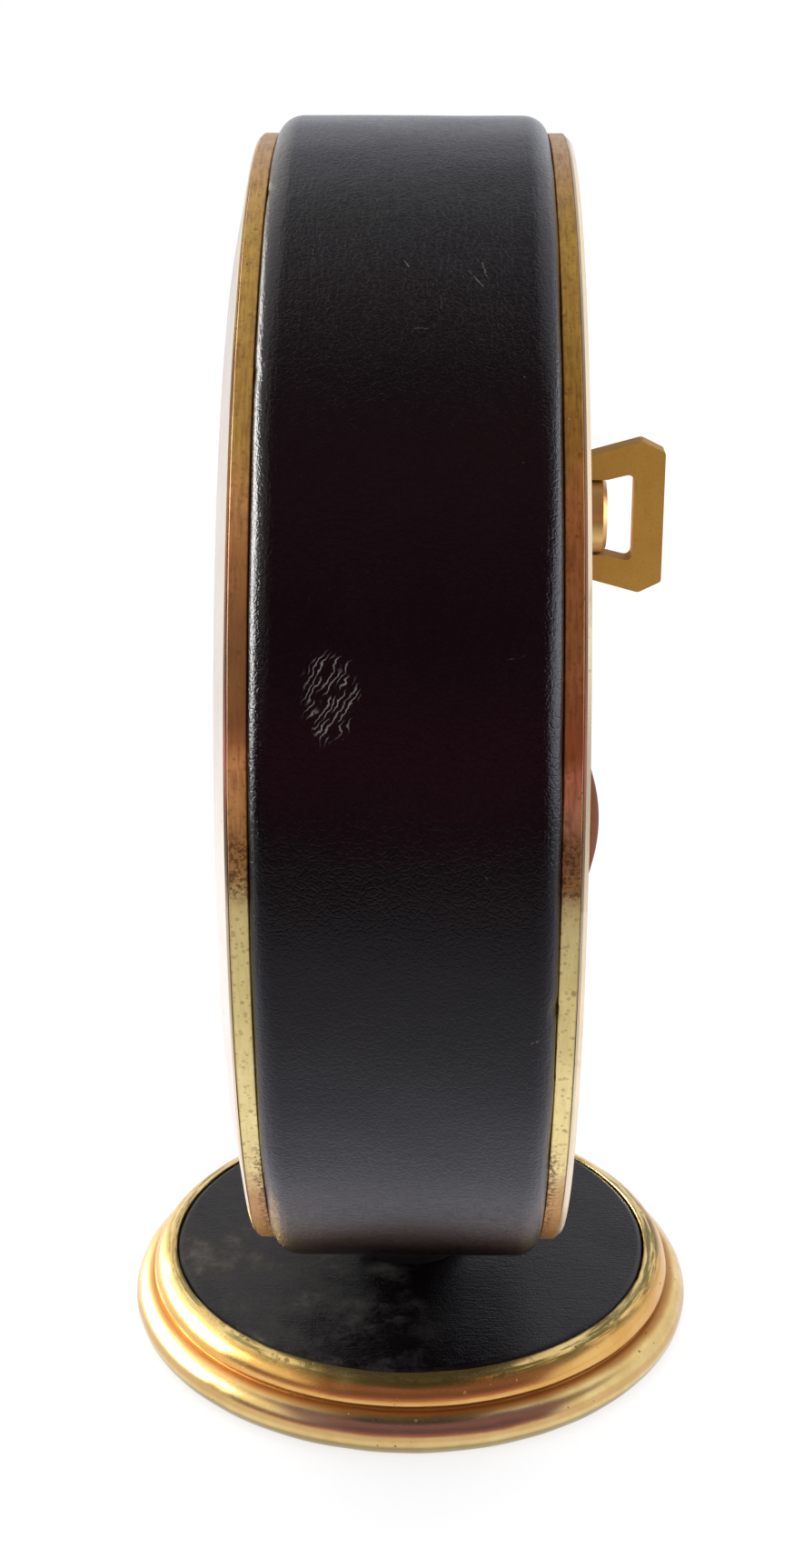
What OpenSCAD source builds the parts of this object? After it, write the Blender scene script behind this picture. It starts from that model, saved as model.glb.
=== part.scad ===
// Round table clock: a leather-covered drum between two brass rims, carried on a short
// neck above a round leather-topped foot with a moulded brass edge. The drum's axis lies
// along Y, the dial faces -Y and the winding key stands out of the back, towards +Y.
// The origin is on the table, below the drum's centre.

/* [Drum] */
// Outer diameter of the leather band
drum_d = 110; // [106:1:116]
// Width of the leather band along the drum's axis
band_w = 24.6; // [23.6:0.1:27]
// Thickness of the leather with its lining
leather_t = 1.8; // [1.2:0.1:2.4]
// Wall of the brass tube under the leather
shell_t = 1.7; // [1.2:0.1:2.2]
// Width over which each edge of the band is turned down
band_edge_w = 2.2; // [1:0.1:3]
// Height of the leather above the brass rims
band_proud = 1.6; // [0.8:0.1:2]
// Width of each brass rim seen from the side
strip_w = 1.6; // [1:0.1:2.5]
// Length of the sleeve with which each rim enters the tube
sleeve_l = 5; // [3:0.5:7]
// Wall of that sleeve
sleeve_t = 1.5; // [1:0.1:2]

/* [Front] */
// Depth of the dial below the front rim's face
dial_sink = 2.1; // [1.8:0.1:2.4]
// Thickness of the dial plate
dial_t = 0.8; // [0.5:0.1:1]
// Width of the ledge that carries the dial's edge
ledge_w = 4.5; // [3:0.5:6]
// Thickness of that ledge
ledge_t = 1.2; // [0.8:0.1:1.6]
// Rise of the bezel in front of the rim
bezel_rise = 1.7; // [1.4:0.1:2.2]
// Width of the bezel's sloping face
bezel_w = 7; // [6:0.5:8]
// Thickness of the crystal
crystal_t = 1.4; // [1:0.1:1.6]
// Rise of the crystal's dome
crystal_dome = 2.2; // [2:0.1:3]
// Length of the hour hand from the centre
hour_hand_l = 23; // [18:1:27]
// Length of the minute hand from the centre
minute_hand_l = 34; // [30:1:36]
// Thickness of each hand
hand_t = 0.35; // [0.25:0.05:0.4]
// Length of the hour markers
marker_l = 6; // [4:0.5:8]
// Width of the hour markers
marker_w = 1.3; // [0.8:0.1:2]

/* [Back] */
// Height of the back cover's face behind the rear rim
cover_rim = 0.6; // [0.4:0.1:1]
// Thickness of the back cover
cover_t = 1.5; // [1.2:0.1:2]
// Distance of the cover screws from the drum's outer surface
cover_screw_in = 8.5; // [8:0.1:9]
// Number of cover screws
cover_screws = 4; // [3:1:6]
// Radius of the cover screws' heads
cover_screw_head_r = 1.7; // [1.4:0.1:2]

/* [Key and setting knob] */
// Height of the winding arbor above the centre
wind_up = 18; // [17.6:0.1:18.6]
// Depth of the setting arbor below the centre
set_down = 13.6; // [13.2:0.1:14]
// Radius of the key's boss
boss_r = 3.6; // [3:0.1:4]
// Length of the key's boss
boss_l = 3.8; // [3.4:0.1:4.2]
// Reach of the bow from its pivot to its far edge
bow_reach = 7.7; // [7.4:0.1:8.4]
// Greatest width of the bow
bow_w = 14.9; // [14.4:0.1:16]
// Width of the bow's far bar
bow_bar = 2.9; // [2.2:0.1:3]
// Thickness of the bow
bow_t = 2.4; // [1.8:0.1:2.5]
// Radius of the setting knob
knob_r = 6; // [5:0.1:6.6]
// Height of the setting knob behind the cover
knob_h = 4; // [3.4:0.1:4.6]
// Number of flutes round the knob
knob_flutes = 30; // [24:2:40]

/* [Movement] */
// Radius of the movement's plates
plate_r = 34; // [33.6:0.1:36]
// Thickness of the plates
plate_t = 1.6; // [1.2:0.1:1.8]
// Free height between the plates
plate_gap = 12.8; // [12.6:0.1:13]
// Free height between the dial and the front plate
under_dial = 3; // [2.9:0.05:3.2]
// Distance of the four pillars from the plates' edge
pillar_in = 3.5; // [3:0.1:4]
// Radius of the pillars
pillar_r = 2; // [1.6:0.1:2.2]
// Height of the barrel with its toothed edge
barrel_h = 7.5; // [7:0.1:7.6]
// Wall of the barrel
barrel_t = 0.9; // [0.7:0.1:1.1]
// Number of turns of the mainspring
mainspring_turns = 12; // [8:1:14]
// Thickness of the mainspring's strip
mainspring_t = 0.3; // [0.2:0.05:0.35]
// Thickness of the wheels of the train
wheel_t = 0.7; // [0.5:0.05:0.8]
// Tip radius of the ratchet wheel
ratchet_r = 7.5; // [6.5:0.1:8]
// Tip radius of the escape wheel
escape_r = 5.5; // [5:0.1:5.7]
// Radius of the balance wheel
balance_r = 7.6; // [7:0.1:7.7]
// Outer radius of the hairspring
hairspring_r = 4.7; // [4:0.1:5.2]
// Number of turns of the hairspring
hairspring_turns = 6; // [4:1:7]
// Thickness of the hairspring's strip
hairspring_t = 0.12; // [0.08:0.02:0.14]

/* [Neck and foot] */
// Gap between the foot's top and the drum
neck_h = 7.4; // [6.4:0.2:10]
// Radius of the neck's flange on the foot
neck_flange_r = 6; // [5.4:0.1:8]
// Radius of the neck's waist
neck_waist_r = 4.4; // [4:0.1:5]
// Radius of the threaded stud
stud_r = 2.5; // [2:0.1:3]
// Radius of the foot's leather top
foot_top_r = 25.1; // [24.6:0.1:26]
// Thickness of the foot's leather top
foot_top_t = 1.8; // [1.2:0.1:2]
// Height of the leather above the brass edge
foot_top_proud = 0.2; // [0.1:0.1:0.4]
// Radius of the upper, quarter-round bead
upper_bead_r = 2.6; // [2.4:0.1:3]
// Height of the groove between the beads
groove_h = 0.4; // [0.2:0.1:0.8]
// Radius of the lower bead
lower_bead_r = 2.2; // [2:0.1:2.4]
// Outer radius of the foot
foot_r = 29.7; // [29.2:0.1:33]
// Height of the felt below the brass edge
felt_proud = 0.3; // [0.2:0.1:0.6]
// Thickness of the felt
felt_t = 1.5; // [1.2:0.1:1.8]

/* [Hidden] */
$fn = 96;
eps = 0.01;        // overlap of cutting tools past a face
seat_gap = 0.02;   // between fixed pieces
run_gap = 0.06;    // turning pieces, radially
end_gap = 0.2;     // turning pieces, along their axis
face_gap = 0.05;   // between the bezel or cover and its rim
fold_gap = 0.1;    // the bow's legs, beside the boss

// Case, in the drum's own frame: radii and places along Y
drum_r = drum_d / 2;
shell_r = drum_r - leather_t;
shell_in_r = shell_r - shell_t;
rim_r = drum_r - band_proud;
rim_chamfer = 0.25;
sleeve_r = shell_in_r - seat_gap;
sleeve_in_r = sleeve_r - sleeve_t;
ledge_r = sleeve_in_r - ledge_w;
half_w = band_w / 2;
ring_y = half_w + strip_w;
dial_y = dial_sink - ring_y;
dial_back_y = dial_y + dial_t;
dial_r = sleeve_in_r - seat_gap;
cover_face_y = ring_y + cover_rim;
cover_in_y = cover_face_y - cover_t;
cover_screw_pcr = drum_r - cover_screw_in;
cover_shank_r = 0.9;
lug_r = 2.6;
lug_h = 4;
bezel_out_r = rim_r - rim_chamfer - face_gap;
bezel_top_r = bezel_out_r - bezel_w;
bezel_lip_w = 1.3;
bezel_lip_t = 0.9;
bezel_in_r = bezel_top_r - bezel_lip_w;
bezel_skirt_t = 2;
crystal_lap = 1.5;  // width of the crystal's edge under the bezel's lip
crystal_r = bezel_in_r + crystal_lap;
crystal_front_y = ring_y + bezel_rise - bezel_lip_t - seat_gap;
crystal_back_y = crystal_front_y - crystal_t;

// Foot: heights above the table
groove_z = 2 * lower_bead_r + groove_h;
foot_top_z = groove_z + upper_bead_r + foot_top_proud;
foot_seat_z = foot_top_z - foot_top_t;
axis_z = foot_top_z + neck_h + drum_r;
foot_step_w = 1.6;  // width of the brass step below the leather's edge
foot_bore_r = foot_top_r - foot_step_w;
felt_r = foot_r - 2 * lower_bead_r;
neck_bore_r = stud_r + run_gap;
nut_h = 2.4;
nut_r = 4.4;
washer_r = 5.4;
washer_t = 1;
stud_low_z = felt_t + 0.3;
core_web_z = stud_low_z + 0.1 + nut_h + seat_gap;
shell_floor_z = axis_z - shell_in_r;
stud_top_z = shell_floor_z + washer_t + nut_h + 1.5;

// Movement: places along Y
front_plate_y = dial_back_y + under_dial;
gap_y = front_plate_y + plate_t;
back_plate_y = gap_y + plate_gap;
plate_back_y = back_plate_y + plate_t;
pivot_depth = 1.1;

// Train: teeth, modules and centres in the X-Z plane of the drum's frame
pressure = 24;
addendum = 0.8;    // in modules
dedendum = 1.05;
backlash = 0.09;
m_great = 0.3;
m_centre = 0.25;
m_third = 0.22;
m_fourth = 0.2;
m_motion = 0.3;
z_barrel = 96;
z_inter_pinion = 12;
z_inter = 72;
z_centre_pinion = 12;
z_centre = 80;
z_third_pinion = 10;
z_third = 75;
z_fourth_pinion = 10;
z_fourth = 80;
z_escape_pinion = 10;
z_escape = 15;
z_cannon = 12;
z_minute = 36;
z_set = 12;
z_minute_pinion = 10;
z_hour = 40;
z_ratchet = 24;
m_hour = m_motion * (z_cannon + z_minute) / (z_minute_pinion + z_hour);

function pitch_r(z, m) = z * m / 2;
function root_r(z, m) = pitch_r(z, m) - dedendum * m;
function span(z1, z2, m) = (z1 + z2) * m / 2;
function polar(r, a) = r * [cos(a), sin(a)];
function bearing(p, q) = atan2(q[1] - p[1], q[0] - p[0]);
// Place at distance a from p and b from q, on the left of the line from p to q
function meet(p, q, a, b) =
    let (d = norm(q - p), u = (q - p) / d)
    let (s = (a * a - b * b + d * d) / (2 * d), h = sqrt(a * a - s * s))
    p + s * u + h * [-u[1], u[0]];

centre_at = [0, 0];
wind_at = [0, wind_up];
set_at = [0, -set_down];
inter_at = meet(centre_at, wind_at, span(z_inter, z_centre_pinion, m_great),
                span(z_barrel, z_inter_pinion, m_great));
third_at = centre_at + polar(span(z_centre, z_third_pinion, m_centre), 215);
fourth_at = third_at + polar(span(z_third, z_fourth_pinion, m_third), 240);
escape_at = fourth_at + polar(span(z_fourth, z_escape_pinion, m_fourth), -45);
pallet_at = escape_at + [escape_r + 1.3, 0];
balance_at = pallet_at + [9, 0];
minute_at = meet(centre_at, set_at, span(z_cannon, z_minute, m_motion),
                 span(z_set, z_minute, m_motion));
train_pivots = [inter_at, third_at, fourth_at, escape_at, pallet_at];
pillar_angles = [30, 150, 205, -20];

// Levels of the wheels, from the front plate's inner face
centre_level = 0.5;
great_level = 2.3;
third_level = 4;
barrel_level = 4.5;
fourth_level = 6.5;
escape_level = 8.5;
balance_level = 10.2;
pinion_over = 0.3;  // a pinion's length past its wheel, each side
teeth_t = 1;        // width of the barrel's toothed edge

// Phase of each gear, as the direction of one of its teeth
function mesh_phase(a, z1, z2, phi) = phi + 180 - (a - phi) * z1 / z2 + 180 / z2;
wheel_phase = 0;
inter_pinion_phase = mesh_phase(wheel_phase, z_barrel, z_inter_pinion,
                                bearing(wind_at, inter_at));
centre_pinion_phase = mesh_phase(wheel_phase, z_inter, z_centre_pinion,
                                 bearing(inter_at, centre_at));
third_pinion_phase = mesh_phase(wheel_phase, z_centre, z_third_pinion,
                                bearing(centre_at, third_at));
fourth_pinion_phase = mesh_phase(wheel_phase, z_third, z_fourth_pinion,
                                 bearing(third_at, fourth_at));
escape_pinion_phase = mesh_phase(wheel_phase, z_fourth, z_escape_pinion,
                                 bearing(fourth_at, escape_at));
cannon_phase = mesh_phase(wheel_phase, z_minute, z_cannon, bearing(minute_at, centre_at));
set_phase = mesh_phase(wheel_phase, z_minute, z_set, bearing(minute_at, set_at));
minute_pinion_phase = mesh_phase(wheel_phase, z_hour, z_minute_pinion,
                                 bearing(centre_at, minute_at));

// Arbors, pivots and posts
centre_arbor_r = 1;
cannon_r = 1.7;
nose_r = 1.2;
hour_pipe_r = 2.4;
hour_nose_r = 2.1;
train_arbor_r = 0.6;
pivot_r = 0.35;
wind_arbor_r = 2;
wind_pivot_r = 1.6;
wind_square = 2.2;
set_arbor_r = 1;
set_collar_r = 1.5;
staff_r = 0.5;
staff_pivot_r = 0.3;
minute_post_r = 0.8;
click_post_r = 0.8;
pillar_screw_r = 0.9;
small_screw_r = 0.7;

// Hands: the time shown is eight past ten
shown_hours = 10;
shown_minutes = 8;
minute_angle = 90 - 6 * shown_minutes;
hour_angle = 90 - 30 * shown_hours - shown_minutes / 2;
hour_hand_y = dial_y - 0.9;
minute_hand_y = hour_hand_y - hand_t - 0.35;
hand_nut_h = 0.9;
hand_nut_r = 1.9;

// Pillars and dial feet
pillar_pcr = plate_r - pillar_in;
foot_angles = [90, 240, 300];
foot_pcr = plate_r - 3;
dial_foot_r = 1.4;
dial_tail_r = 0.8;

// Key
boss_y = cover_face_y + 0.3;
boss_end_y = boss_y + boss_l;
pivot_y = boss_y + 1.6;
pin_r = 0.6;
pin_in = wind_square / 2 + 0.4;
bow_leg_in = boss_r + fold_gap;
bow_apex = bow_reach - 2.2;
bow_slope = 0.28;
bow_corner = 1.1;
bow_hole_spread = 0.65;
function bow_half(u) = bow_w / 2 - bow_slope * (bow_apex - u);

// Setting knob
knob_y = cover_face_y + 0.4;
knob_dome = 0.9;
knob_corner = 0.8;
knob_bore_end = knob_y + knob_h - 1.2;

// Click, on the back plate beside the ratchet wheel
ratchet_y = plate_back_y + 0.3;
ratchet_t = 1.2;
ratchet_tooth = 0.9;
click_t = 1.1;
click_at = wind_at + [ratchet_r + 4.9, -1.6];
click_hub_r = 2;
click_gap = 0.2;
beak = wind_at + [ratchet_r + click_gap, 0.8];
click_foot = click_at + [4.6, 6.2];

// Balance and its cock
balance_y = gap_y + balance_level;
rim_h = 1.4;
rim_w = 0.9;
timing_screw_l = 0.6;
fork_y = gap_y + escape_level;
fork_t = 0.6;
roller_r = 1.5;
stone_gap = 0.45;  // keeps the stones clear of the teeth through the fork's swing
stone_l = 1.1;
stone_w = 0.5;
stone_angle = 33;
cock_y = plate_back_y + 2;
cock_t = 1.1;
cock_foot = balance_at + [13.2, 4.4];
cock_screw_at = [cock_foot + [0.4, 1.9], cock_foot + [0.4, -1.9]];
hairspring_y = plate_back_y + 0.5;
hairspring_h = 0.4;
hairspring_in_r = 1.3;
spring_stud_r = 0.3;  // stud that holds the hairspring's outer end
collet_r = 0.95;

// Motion work under the dial
cannon_y = front_plate_y - 0.3;
cannon_t = 1;
motion_t = 0.6;
hour_wheel_y = cannon_y - 2.1;

// Barrel
barrel_y = gap_y + barrel_level;
barrel_r = root_r(z_barrel, m_great) - 0.2;
barrel_in_r = barrel_r - barrel_t;
barrel_floor = 0.7;
barrel_cover_t = 0.8;

// Lifts the children from the drum's own frame to the part's
module in_drum() {
    translate([0, 0, axis_z]) children();
}

// Extrudes a drawing in the X-Z plane from y0 to y1
module slab(y0, y1) {
    translate([0, y1, 0]) rotate([90, 0, 0]) linear_extrude(y1 - y0) children();
}

// Turns a profile of [radius, place along Y] round the axis through p
module turned(p = [0, 0]) {
    translate([p[0], 0, p[1]]) rotate([-90, 0, 0]) rotate_extrude() children();
}

// Turns a profile of [radius, distance in front of the mid-plane]
module turned_front() {
    mirror([0, 1, 0]) turned() children();
}

// A round rod along Y through p
module rod(y0, y1, r, p = [0, 0]) {
    translate([p[0], y0, p[1]]) rotate([-90, 0, 0]) cylinder(h = y1 - y0, r = r);
}

module at(p) {
    translate([p[0], p[1]]) children();
}

function arc(c, r, a0, a1, n) =
    [for (i = [0 : n]) c + polar(r, a0 + (a1 - a0) * i / n)];

// Height over its edge of a shallow dome, at radius r
function dome_rise(r, edge_r, rise) =
    let (big = (edge_r * edge_r + rise * rise) / (2 * rise))
    sqrt(big * big - r * r) - (big - rise);

// Half the angle that an involute tooth fills at radius r
function involute(a) = tan(a) * 180 / PI - a;
function tooth_half(z, m, r) =
    let (base = pitch_r(z, m) * cos(pressure))
    90 / z - backlash * m / pitch_r(z, m) * 90 / PI + involute(pressure)
        - (r > base ? involute(acos(base / r)) : 0);

// Outline of a gear with z teeth, one of them in the direction a
module gear2d(z, m, a = 0, steps = 2) {
    root = root_r(z, m);
    tip = pitch_r(z, m) + addendum * m;
    radii = [for (i = [0 : steps]) root + (tip - root) * i / steps];
    polygon([for (k = [0 : z - 1]) each concat(
        [for (i = [0 : steps]) polar(radii[i], a + 360 * k / z - tooth_half(z, m, radii[i]))],
        [for (i = [steps : -1 : 0]) polar(radii[i], a + 360 * k / z + tooth_half(z, m, radii[i]))]
    )]);
}

// A wheel with spokes between its hub and its rim
module wheel2d(z, m, bore, hub = 2.2, spokes = 5) {
    rim_in_r = root_r(z, m) - 1;
    spoke_w = 1;
    difference() {
        gear2d(z, m, wheel_phase);
        circle(bore);
        difference() {
            circle(rim_in_r);
            circle(hub);
            for (k = [0 : spokes - 1])
                rotate(360 * k / spokes) translate([0, -spoke_w / 2])
                    square([rim_in_r + 1, spoke_w]);
        }
    }
}

// An arbor between the plates, with its pinion, its wheel's seat and its pivots
module pinion_arbor(p, z, m, phase, level, length, wheel_level) {
    seat_t = 0.4;
    seat_r = 1.1;
    in_drum() {
        slab(gap_y + level, gap_y + level + length) at(p) gear2d(z, m, phase, steps = 4);
        rod(gap_y + end_gap, back_plate_y - end_gap, train_arbor_r, p);
        rod(gap_y - pivot_depth, back_plate_y + pivot_depth, pivot_r, p);
        rod(gap_y + wheel_level - seat_t, gap_y + wheel_level - seat_gap, seat_r, p);
    }
}

// A flat spiral strip from radius r0 to r1
module spiral2d(r0, r1, turns, t) {
    per_turn = 20;
    function edge(offset) = [for (i = [0 : turns * per_turn])
        polar(r0 + (r1 - r0) * i / (turns * per_turn) + offset, 360 * i / per_turn)];
    inner = edge(-t / 2);
    polygon(concat(edge(t / 2), [for (i = [len(inner) - 1 : -1 : 0]) inner[i]]));
}

// A cheese-head screw along Y, its slotted head from head_y towards +Y
module slotted_screw(p, head_y, head_h, head_r, shank_l, shank_r) {
    slot_w = head_r * 0.3;
    slot_d = head_h * 0.45;
    difference() {
        union() {
            rod(head_y, head_y + head_h, head_r, p);
            rod(head_y - shank_l, head_y + eps, shank_r, p);
        }
        translate([p[0] - head_r - eps, head_y + head_h - slot_d, p[1] - slot_w / 2])
            cube([2 * head_r + 2 * eps, slot_d + eps, slot_w]);
    }
}

// Drum

module stud_hole() {
    translate([0, 0, -drum_r - 1]) cylinder(h = leather_t + shell_t + 3, r = neck_bore_r);
}

module drum_shell() color("goldenrod") in_drum() difference() {
    turned() translate([shell_in_r, -half_w]) square([shell_t, band_w]);
    stud_hole();
}

module leather_band() color([0.03, 0.03, 0.035]) in_drum() difference() {
    edge_h = leather_t - 0.1;
    steps = 10;
    turned() polygon(concat(
        [[shell_r + seat_gap, half_w], [shell_r + seat_gap, -half_w]],
        [for (i = [0 : steps]) let (a = -90 + 90 * i / steps)
            [drum_r - edge_h + edge_h * cos(a), -half_w + band_edge_w * (1 + sin(a))]],
        [for (i = [0 : steps]) let (a = 90 * i / steps)
            [drum_r - edge_h + edge_h * cos(a), half_w - band_edge_w * (1 - sin(a))]]));
    stud_hole();
}

// Profile of either rim: [radius, distance from the mid-plane]
module ring_profile() {
    low = half_w + seat_gap;
    polygon([
        [sleeve_in_r, half_w - sleeve_l], [sleeve_r, half_w - sleeve_l], [sleeve_r, low],
        [rim_r - rim_chamfer, low], [rim_r, low + rim_chamfer], [rim_r, ring_y - rim_chamfer],
        [rim_r - rim_chamfer, ring_y], [sleeve_in_r, ring_y]]);
}

module front_ring() color("goldenrod") in_drum() turned_front() {
    ring_profile();
    translate([ledge_r, -dial_back_y - seat_gap - ledge_t]) square([ledge_w + eps, ledge_t]);
}

module rear_ring() color("goldenrod") in_drum() {
    turned() ring_profile();
    for (k = [0 : cover_screws - 1]) screw_lug(45 + 360 * k / cover_screws);
}

// Lug inside the rear rim that takes a cover screw
module screw_lug(a) {
    slab(cover_in_y - lug_h, cover_in_y - seat_gap) difference() {
        intersection() {
            circle(sleeve_in_r + sleeve_t / 2);
            rotate(a) union() {
                translate([cover_screw_pcr, 0]) circle(lug_r);
                translate([cover_screw_pcr, -lug_r]) square([sleeve_r, 2 * lug_r]);
            }
        }
        at(polar(cover_screw_pcr, a)) circle(cover_shank_r + seat_gap);
    }
}

// Front

module front_bezel() color("gold") in_drum() turned_front() {
    skirt_r = sleeve_in_r - 2 * seat_gap;
    skirt_in_r = skirt_r - bezel_skirt_t;
    low = -dial_y + seat_gap;
    front = ring_y + bezel_rise;
    lip_back = front - bezel_lip_t;
    polygon(concat(
        [[skirt_in_r, low], [skirt_r, low], [skirt_r, ring_y + face_gap],
         [bezel_out_r, ring_y + face_gap], [bezel_out_r, ring_y + 0.3]],
        arc([bezel_top_r, front - 0.8], 0.8, 76, 110, 5),
        [[bezel_in_r, front - 0.5], [bezel_in_r, lip_back],
         [crystal_r + seat_gap, lip_back], [crystal_r + seat_gap, crystal_back_y],
         [skirt_in_r, crystal_back_y - 0.6]]));
}

module crystal() color([0.85, 0.9, 0.92, 0.3]) in_drum() turned_front() {
    edge = bezel_in_r - 0.3;
    steps = 14;
    radii = [for (i = [0 : steps]) edge * (1 - i / steps)];
    polygon(concat(
        [[crystal_r, crystal_back_y], [crystal_r, crystal_front_y]],
        [for (r = radii) [r, crystal_front_y + dome_rise(r, edge, crystal_dome)]],
        [for (i = [steps : -1 : 0])
            [radii[i], crystal_back_y + dome_rise(radii[i], edge, crystal_dome)]]));
}

// Ring between the dial's edge and the crystal's
module crystal_ring() color("gold") in_drum() turned_front() {
    out_r = sleeve_in_r - bezel_skirt_t - 4 * seat_gap;
    low = -dial_y + seat_gap;
    polygon([
        [crystal_r - 0.6, low], [out_r, low], [out_r, crystal_back_y - 0.66],
        [crystal_r - 0.1, crystal_back_y - seat_gap],
        [crystal_r - 1.2, crystal_back_y - seat_gap]]);
}

module dial() color("ivory") in_drum() slab(dial_y, dial_back_y) difference() {
    circle(dial_r);
    circle(hour_pipe_r + run_gap);
}

// Posts behind the dial, whose tails pass through the front plate
module dial_feet() color("goldenrod") in_drum() for (a = foot_angles) {
    p = polar(foot_pcr, a);
    rod(dial_back_y + seat_gap, front_plate_y - seat_gap, dial_foot_r, p);
    rod(front_plate_y - 1, gap_y + 1.1, dial_tail_r, p);
}

module foot_nuts() color("silver") in_drum() for (a = foot_angles)
    slab(gap_y + seat_gap, gap_y + 0.9) at(polar(foot_pcr, a)) difference() {
        circle(1.7, $fn = 6);
        circle(dial_tail_r + seat_gap);
    }

module hour_markers() color("gold") in_drum() {
    marker_h = 0.3;
    track_r = crystal_r - 4;
    for (k = [0 : 11]) {
        w = marker_w * (k % 3 == 0 ? 1.7 : 1);
        rotate([0, 30 * k, 0])
            translate([-w / 2, dial_y - seat_gap - marker_h, track_r - marker_l])
                cube([w, marker_h, marker_l]);
    }
}

// Tapered baton hand that points along +X, with a round boss
module hand2d(length, root_w, tip_w, tail, boss, bore) {
    waist = 0.75;
    difference() {
        union() {
            circle(boss);
            polygon([
                [-tail, -root_w * 0.4], [0, -root_w / 2], [length * waist, -root_w / 2],
                [length, -tip_w / 2], [length, tip_w / 2], [length * waist, root_w / 2],
                [0, root_w / 2], [-tail, root_w * 0.4]]);
        }
        circle(bore);
    }
}

module hour_hand() color("gold") in_drum()
    slab(hour_hand_y - hand_t, hour_hand_y) rotate(hour_angle)
        hand2d(hour_hand_l, 2.6, 0.6, 1, 3.6, hour_nose_r + seat_gap);

module minute_hand() color("gold") in_drum()
    slab(minute_hand_y - hand_t, minute_hand_y) rotate(minute_angle)
        hand2d(minute_hand_l, 2, 0.5, 9, 3, nose_r + seat_gap);

module hand_nut() color("gold") in_drum() turned_front() {
    low = hand_t + seat_gap - minute_hand_y;
    polygon(concat(
        [[0, low], [hand_nut_r, low]],
        [for (i = [0 : 8]) let (a = 90 * i / 8)
            [hand_nut_r * cos(a), low + hand_nut_h * (0.3 + 0.7 * sin(a))]]));
}

// Back

module back_cover() color("goldenrod") in_drum() difference() {
    plug_r = sleeve_in_r - 2 * seat_gap;
    chamfer = 0.35;
    turned() polygon([
        [0, cover_in_y], [plug_r, cover_in_y], [plug_r, ring_y + face_gap],
        [bezel_out_r, ring_y + face_gap], [bezel_out_r, cover_face_y - chamfer],
        [bezel_out_r - chamfer, cover_face_y], [0, cover_face_y]]);
    rod(cover_in_y - 1, cover_face_y + 1, wind_arbor_r + 0.3, wind_at);
    rod(cover_in_y - 1, cover_face_y + 1, set_arbor_r + 0.3, set_at);
    for (k = [0 : cover_screws - 1]) {
        p = polar(cover_screw_pcr, 45 + 360 * k / cover_screws);
        rod(cover_in_y - 1, cover_face_y + 1, cover_shank_r + 0.1, p);
        rod(cover_face_y - 0.6, cover_face_y + 1, cover_screw_head_r + 0.15, p);
    }
}

module back_cover_screws() color("silver") in_drum()
    for (k = [0 : cover_screws - 1])
        slotted_screw(polar(cover_screw_pcr, 45 + 360 * k / cover_screws),
                      cover_face_y - 0.6 + seat_gap, 0.9, cover_screw_head_r,
                      cover_t + 1.8, cover_shank_r);

// Winding arbor and key

module winding_arbor() color("silver") in_drum() {
    rod(gap_y - pivot_depth, plate_back_y + 0.2, wind_pivot_r, wind_at);
    rod(gap_y + barrel_level + 0.9, gap_y + barrel_level + barrel_h - 0.9, wind_arbor_r,
        wind_at);
    slab(plate_back_y, boss_end_y - 1) at(wind_at) square(wind_square, center = true);
}

module ratchet_wheel() color("silver") in_drum()
    slab(ratchet_y, ratchet_y + ratchet_t) at(wind_at) difference() {
        polygon([for (k = [0 : z_ratchet - 1]) each [
            polar(ratchet_r - ratchet_tooth, 360 * (k - 0.12) / z_ratchet),
            polar(ratchet_r, 360 * k / z_ratchet)]]);
        square(wind_square + 2 * seat_gap, center = true);
    }

// Puts the children on the bow's pivot axis, which is vertical at rest
module on_pins() {
    translate([wind_at[0], pivot_y, wind_at[1]]) children();
}

module key_boss() color("goldenrod") in_drum() difference() {
    chamfer = 0.4;
    turned(wind_at) polygon([
        [0, boss_y], [boss_r, boss_y], [boss_r, boss_end_y - chamfer],
        [boss_r - chamfer, boss_end_y], [0, boss_end_y]]);
    slab(boss_y - 1, boss_end_y - 0.9) at(wind_at)
        square(wind_square + 2 * seat_gap, center = true);
    on_pins() for (s = [0, 1]) mirror([0, 0, s]) translate([0, 0, pin_in])
        cylinder(h = boss_r, r = pin_r + seat_gap);
}

module key_pivot_pins() color("silver") in_drum() on_pins()
    for (s = [0, 1]) mirror([0, 0, s]) translate([0, 0, pin_in + seat_gap])
        cylinder(h = bow_half(0) - 0.1 - pin_in, r = pin_r);

// Six-sided bow: legs on the pins, sloping sides, cut corners and a wide far bar
module key_bow() color("goldenrod") in_drum() on_pins() difference() {
    far_in = bow_reach - bow_bar;
    hole_start = boss_end_y - pivot_y;
    union() {
        rotate([90, 0, 90]) translate([0, 0, -bow_t / 2]) linear_extrude(bow_t) difference() {
            polygon([
                [0, bow_half(0)], [bow_apex, bow_w / 2], [bow_reach, bow_w / 2 - bow_corner],
                [bow_reach, bow_corner - bow_w / 2], [bow_apex, -bow_w / 2],
                [0, -bow_half(0)]]);
            polygon([
                [-1, bow_leg_in], [hole_start, bow_leg_in],
                [far_in, bow_leg_in + bow_hole_spread],
                [far_in, -bow_leg_in - bow_hole_spread], [hole_start, -bow_leg_in],
                [-1, -bow_leg_in]]);
        }
        for (s = [0, 1]) mirror([0, 0, s]) bow_leg_end();
    }
    cylinder(h = 2 * bow_w, r = pin_r + run_gap, center = true);
}

// Rounded end of a leg, turned about the pins
module bow_leg_end() {
    r = bow_t / 2;
    rotate_extrude() polygon([
        [0, bow_leg_in], [r, bow_leg_in], [r, bow_half(0) - 0.5], [r - 0.5, bow_half(0)],
        [0, bow_half(0)]]);
}

// Setting arbor and knob

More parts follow.
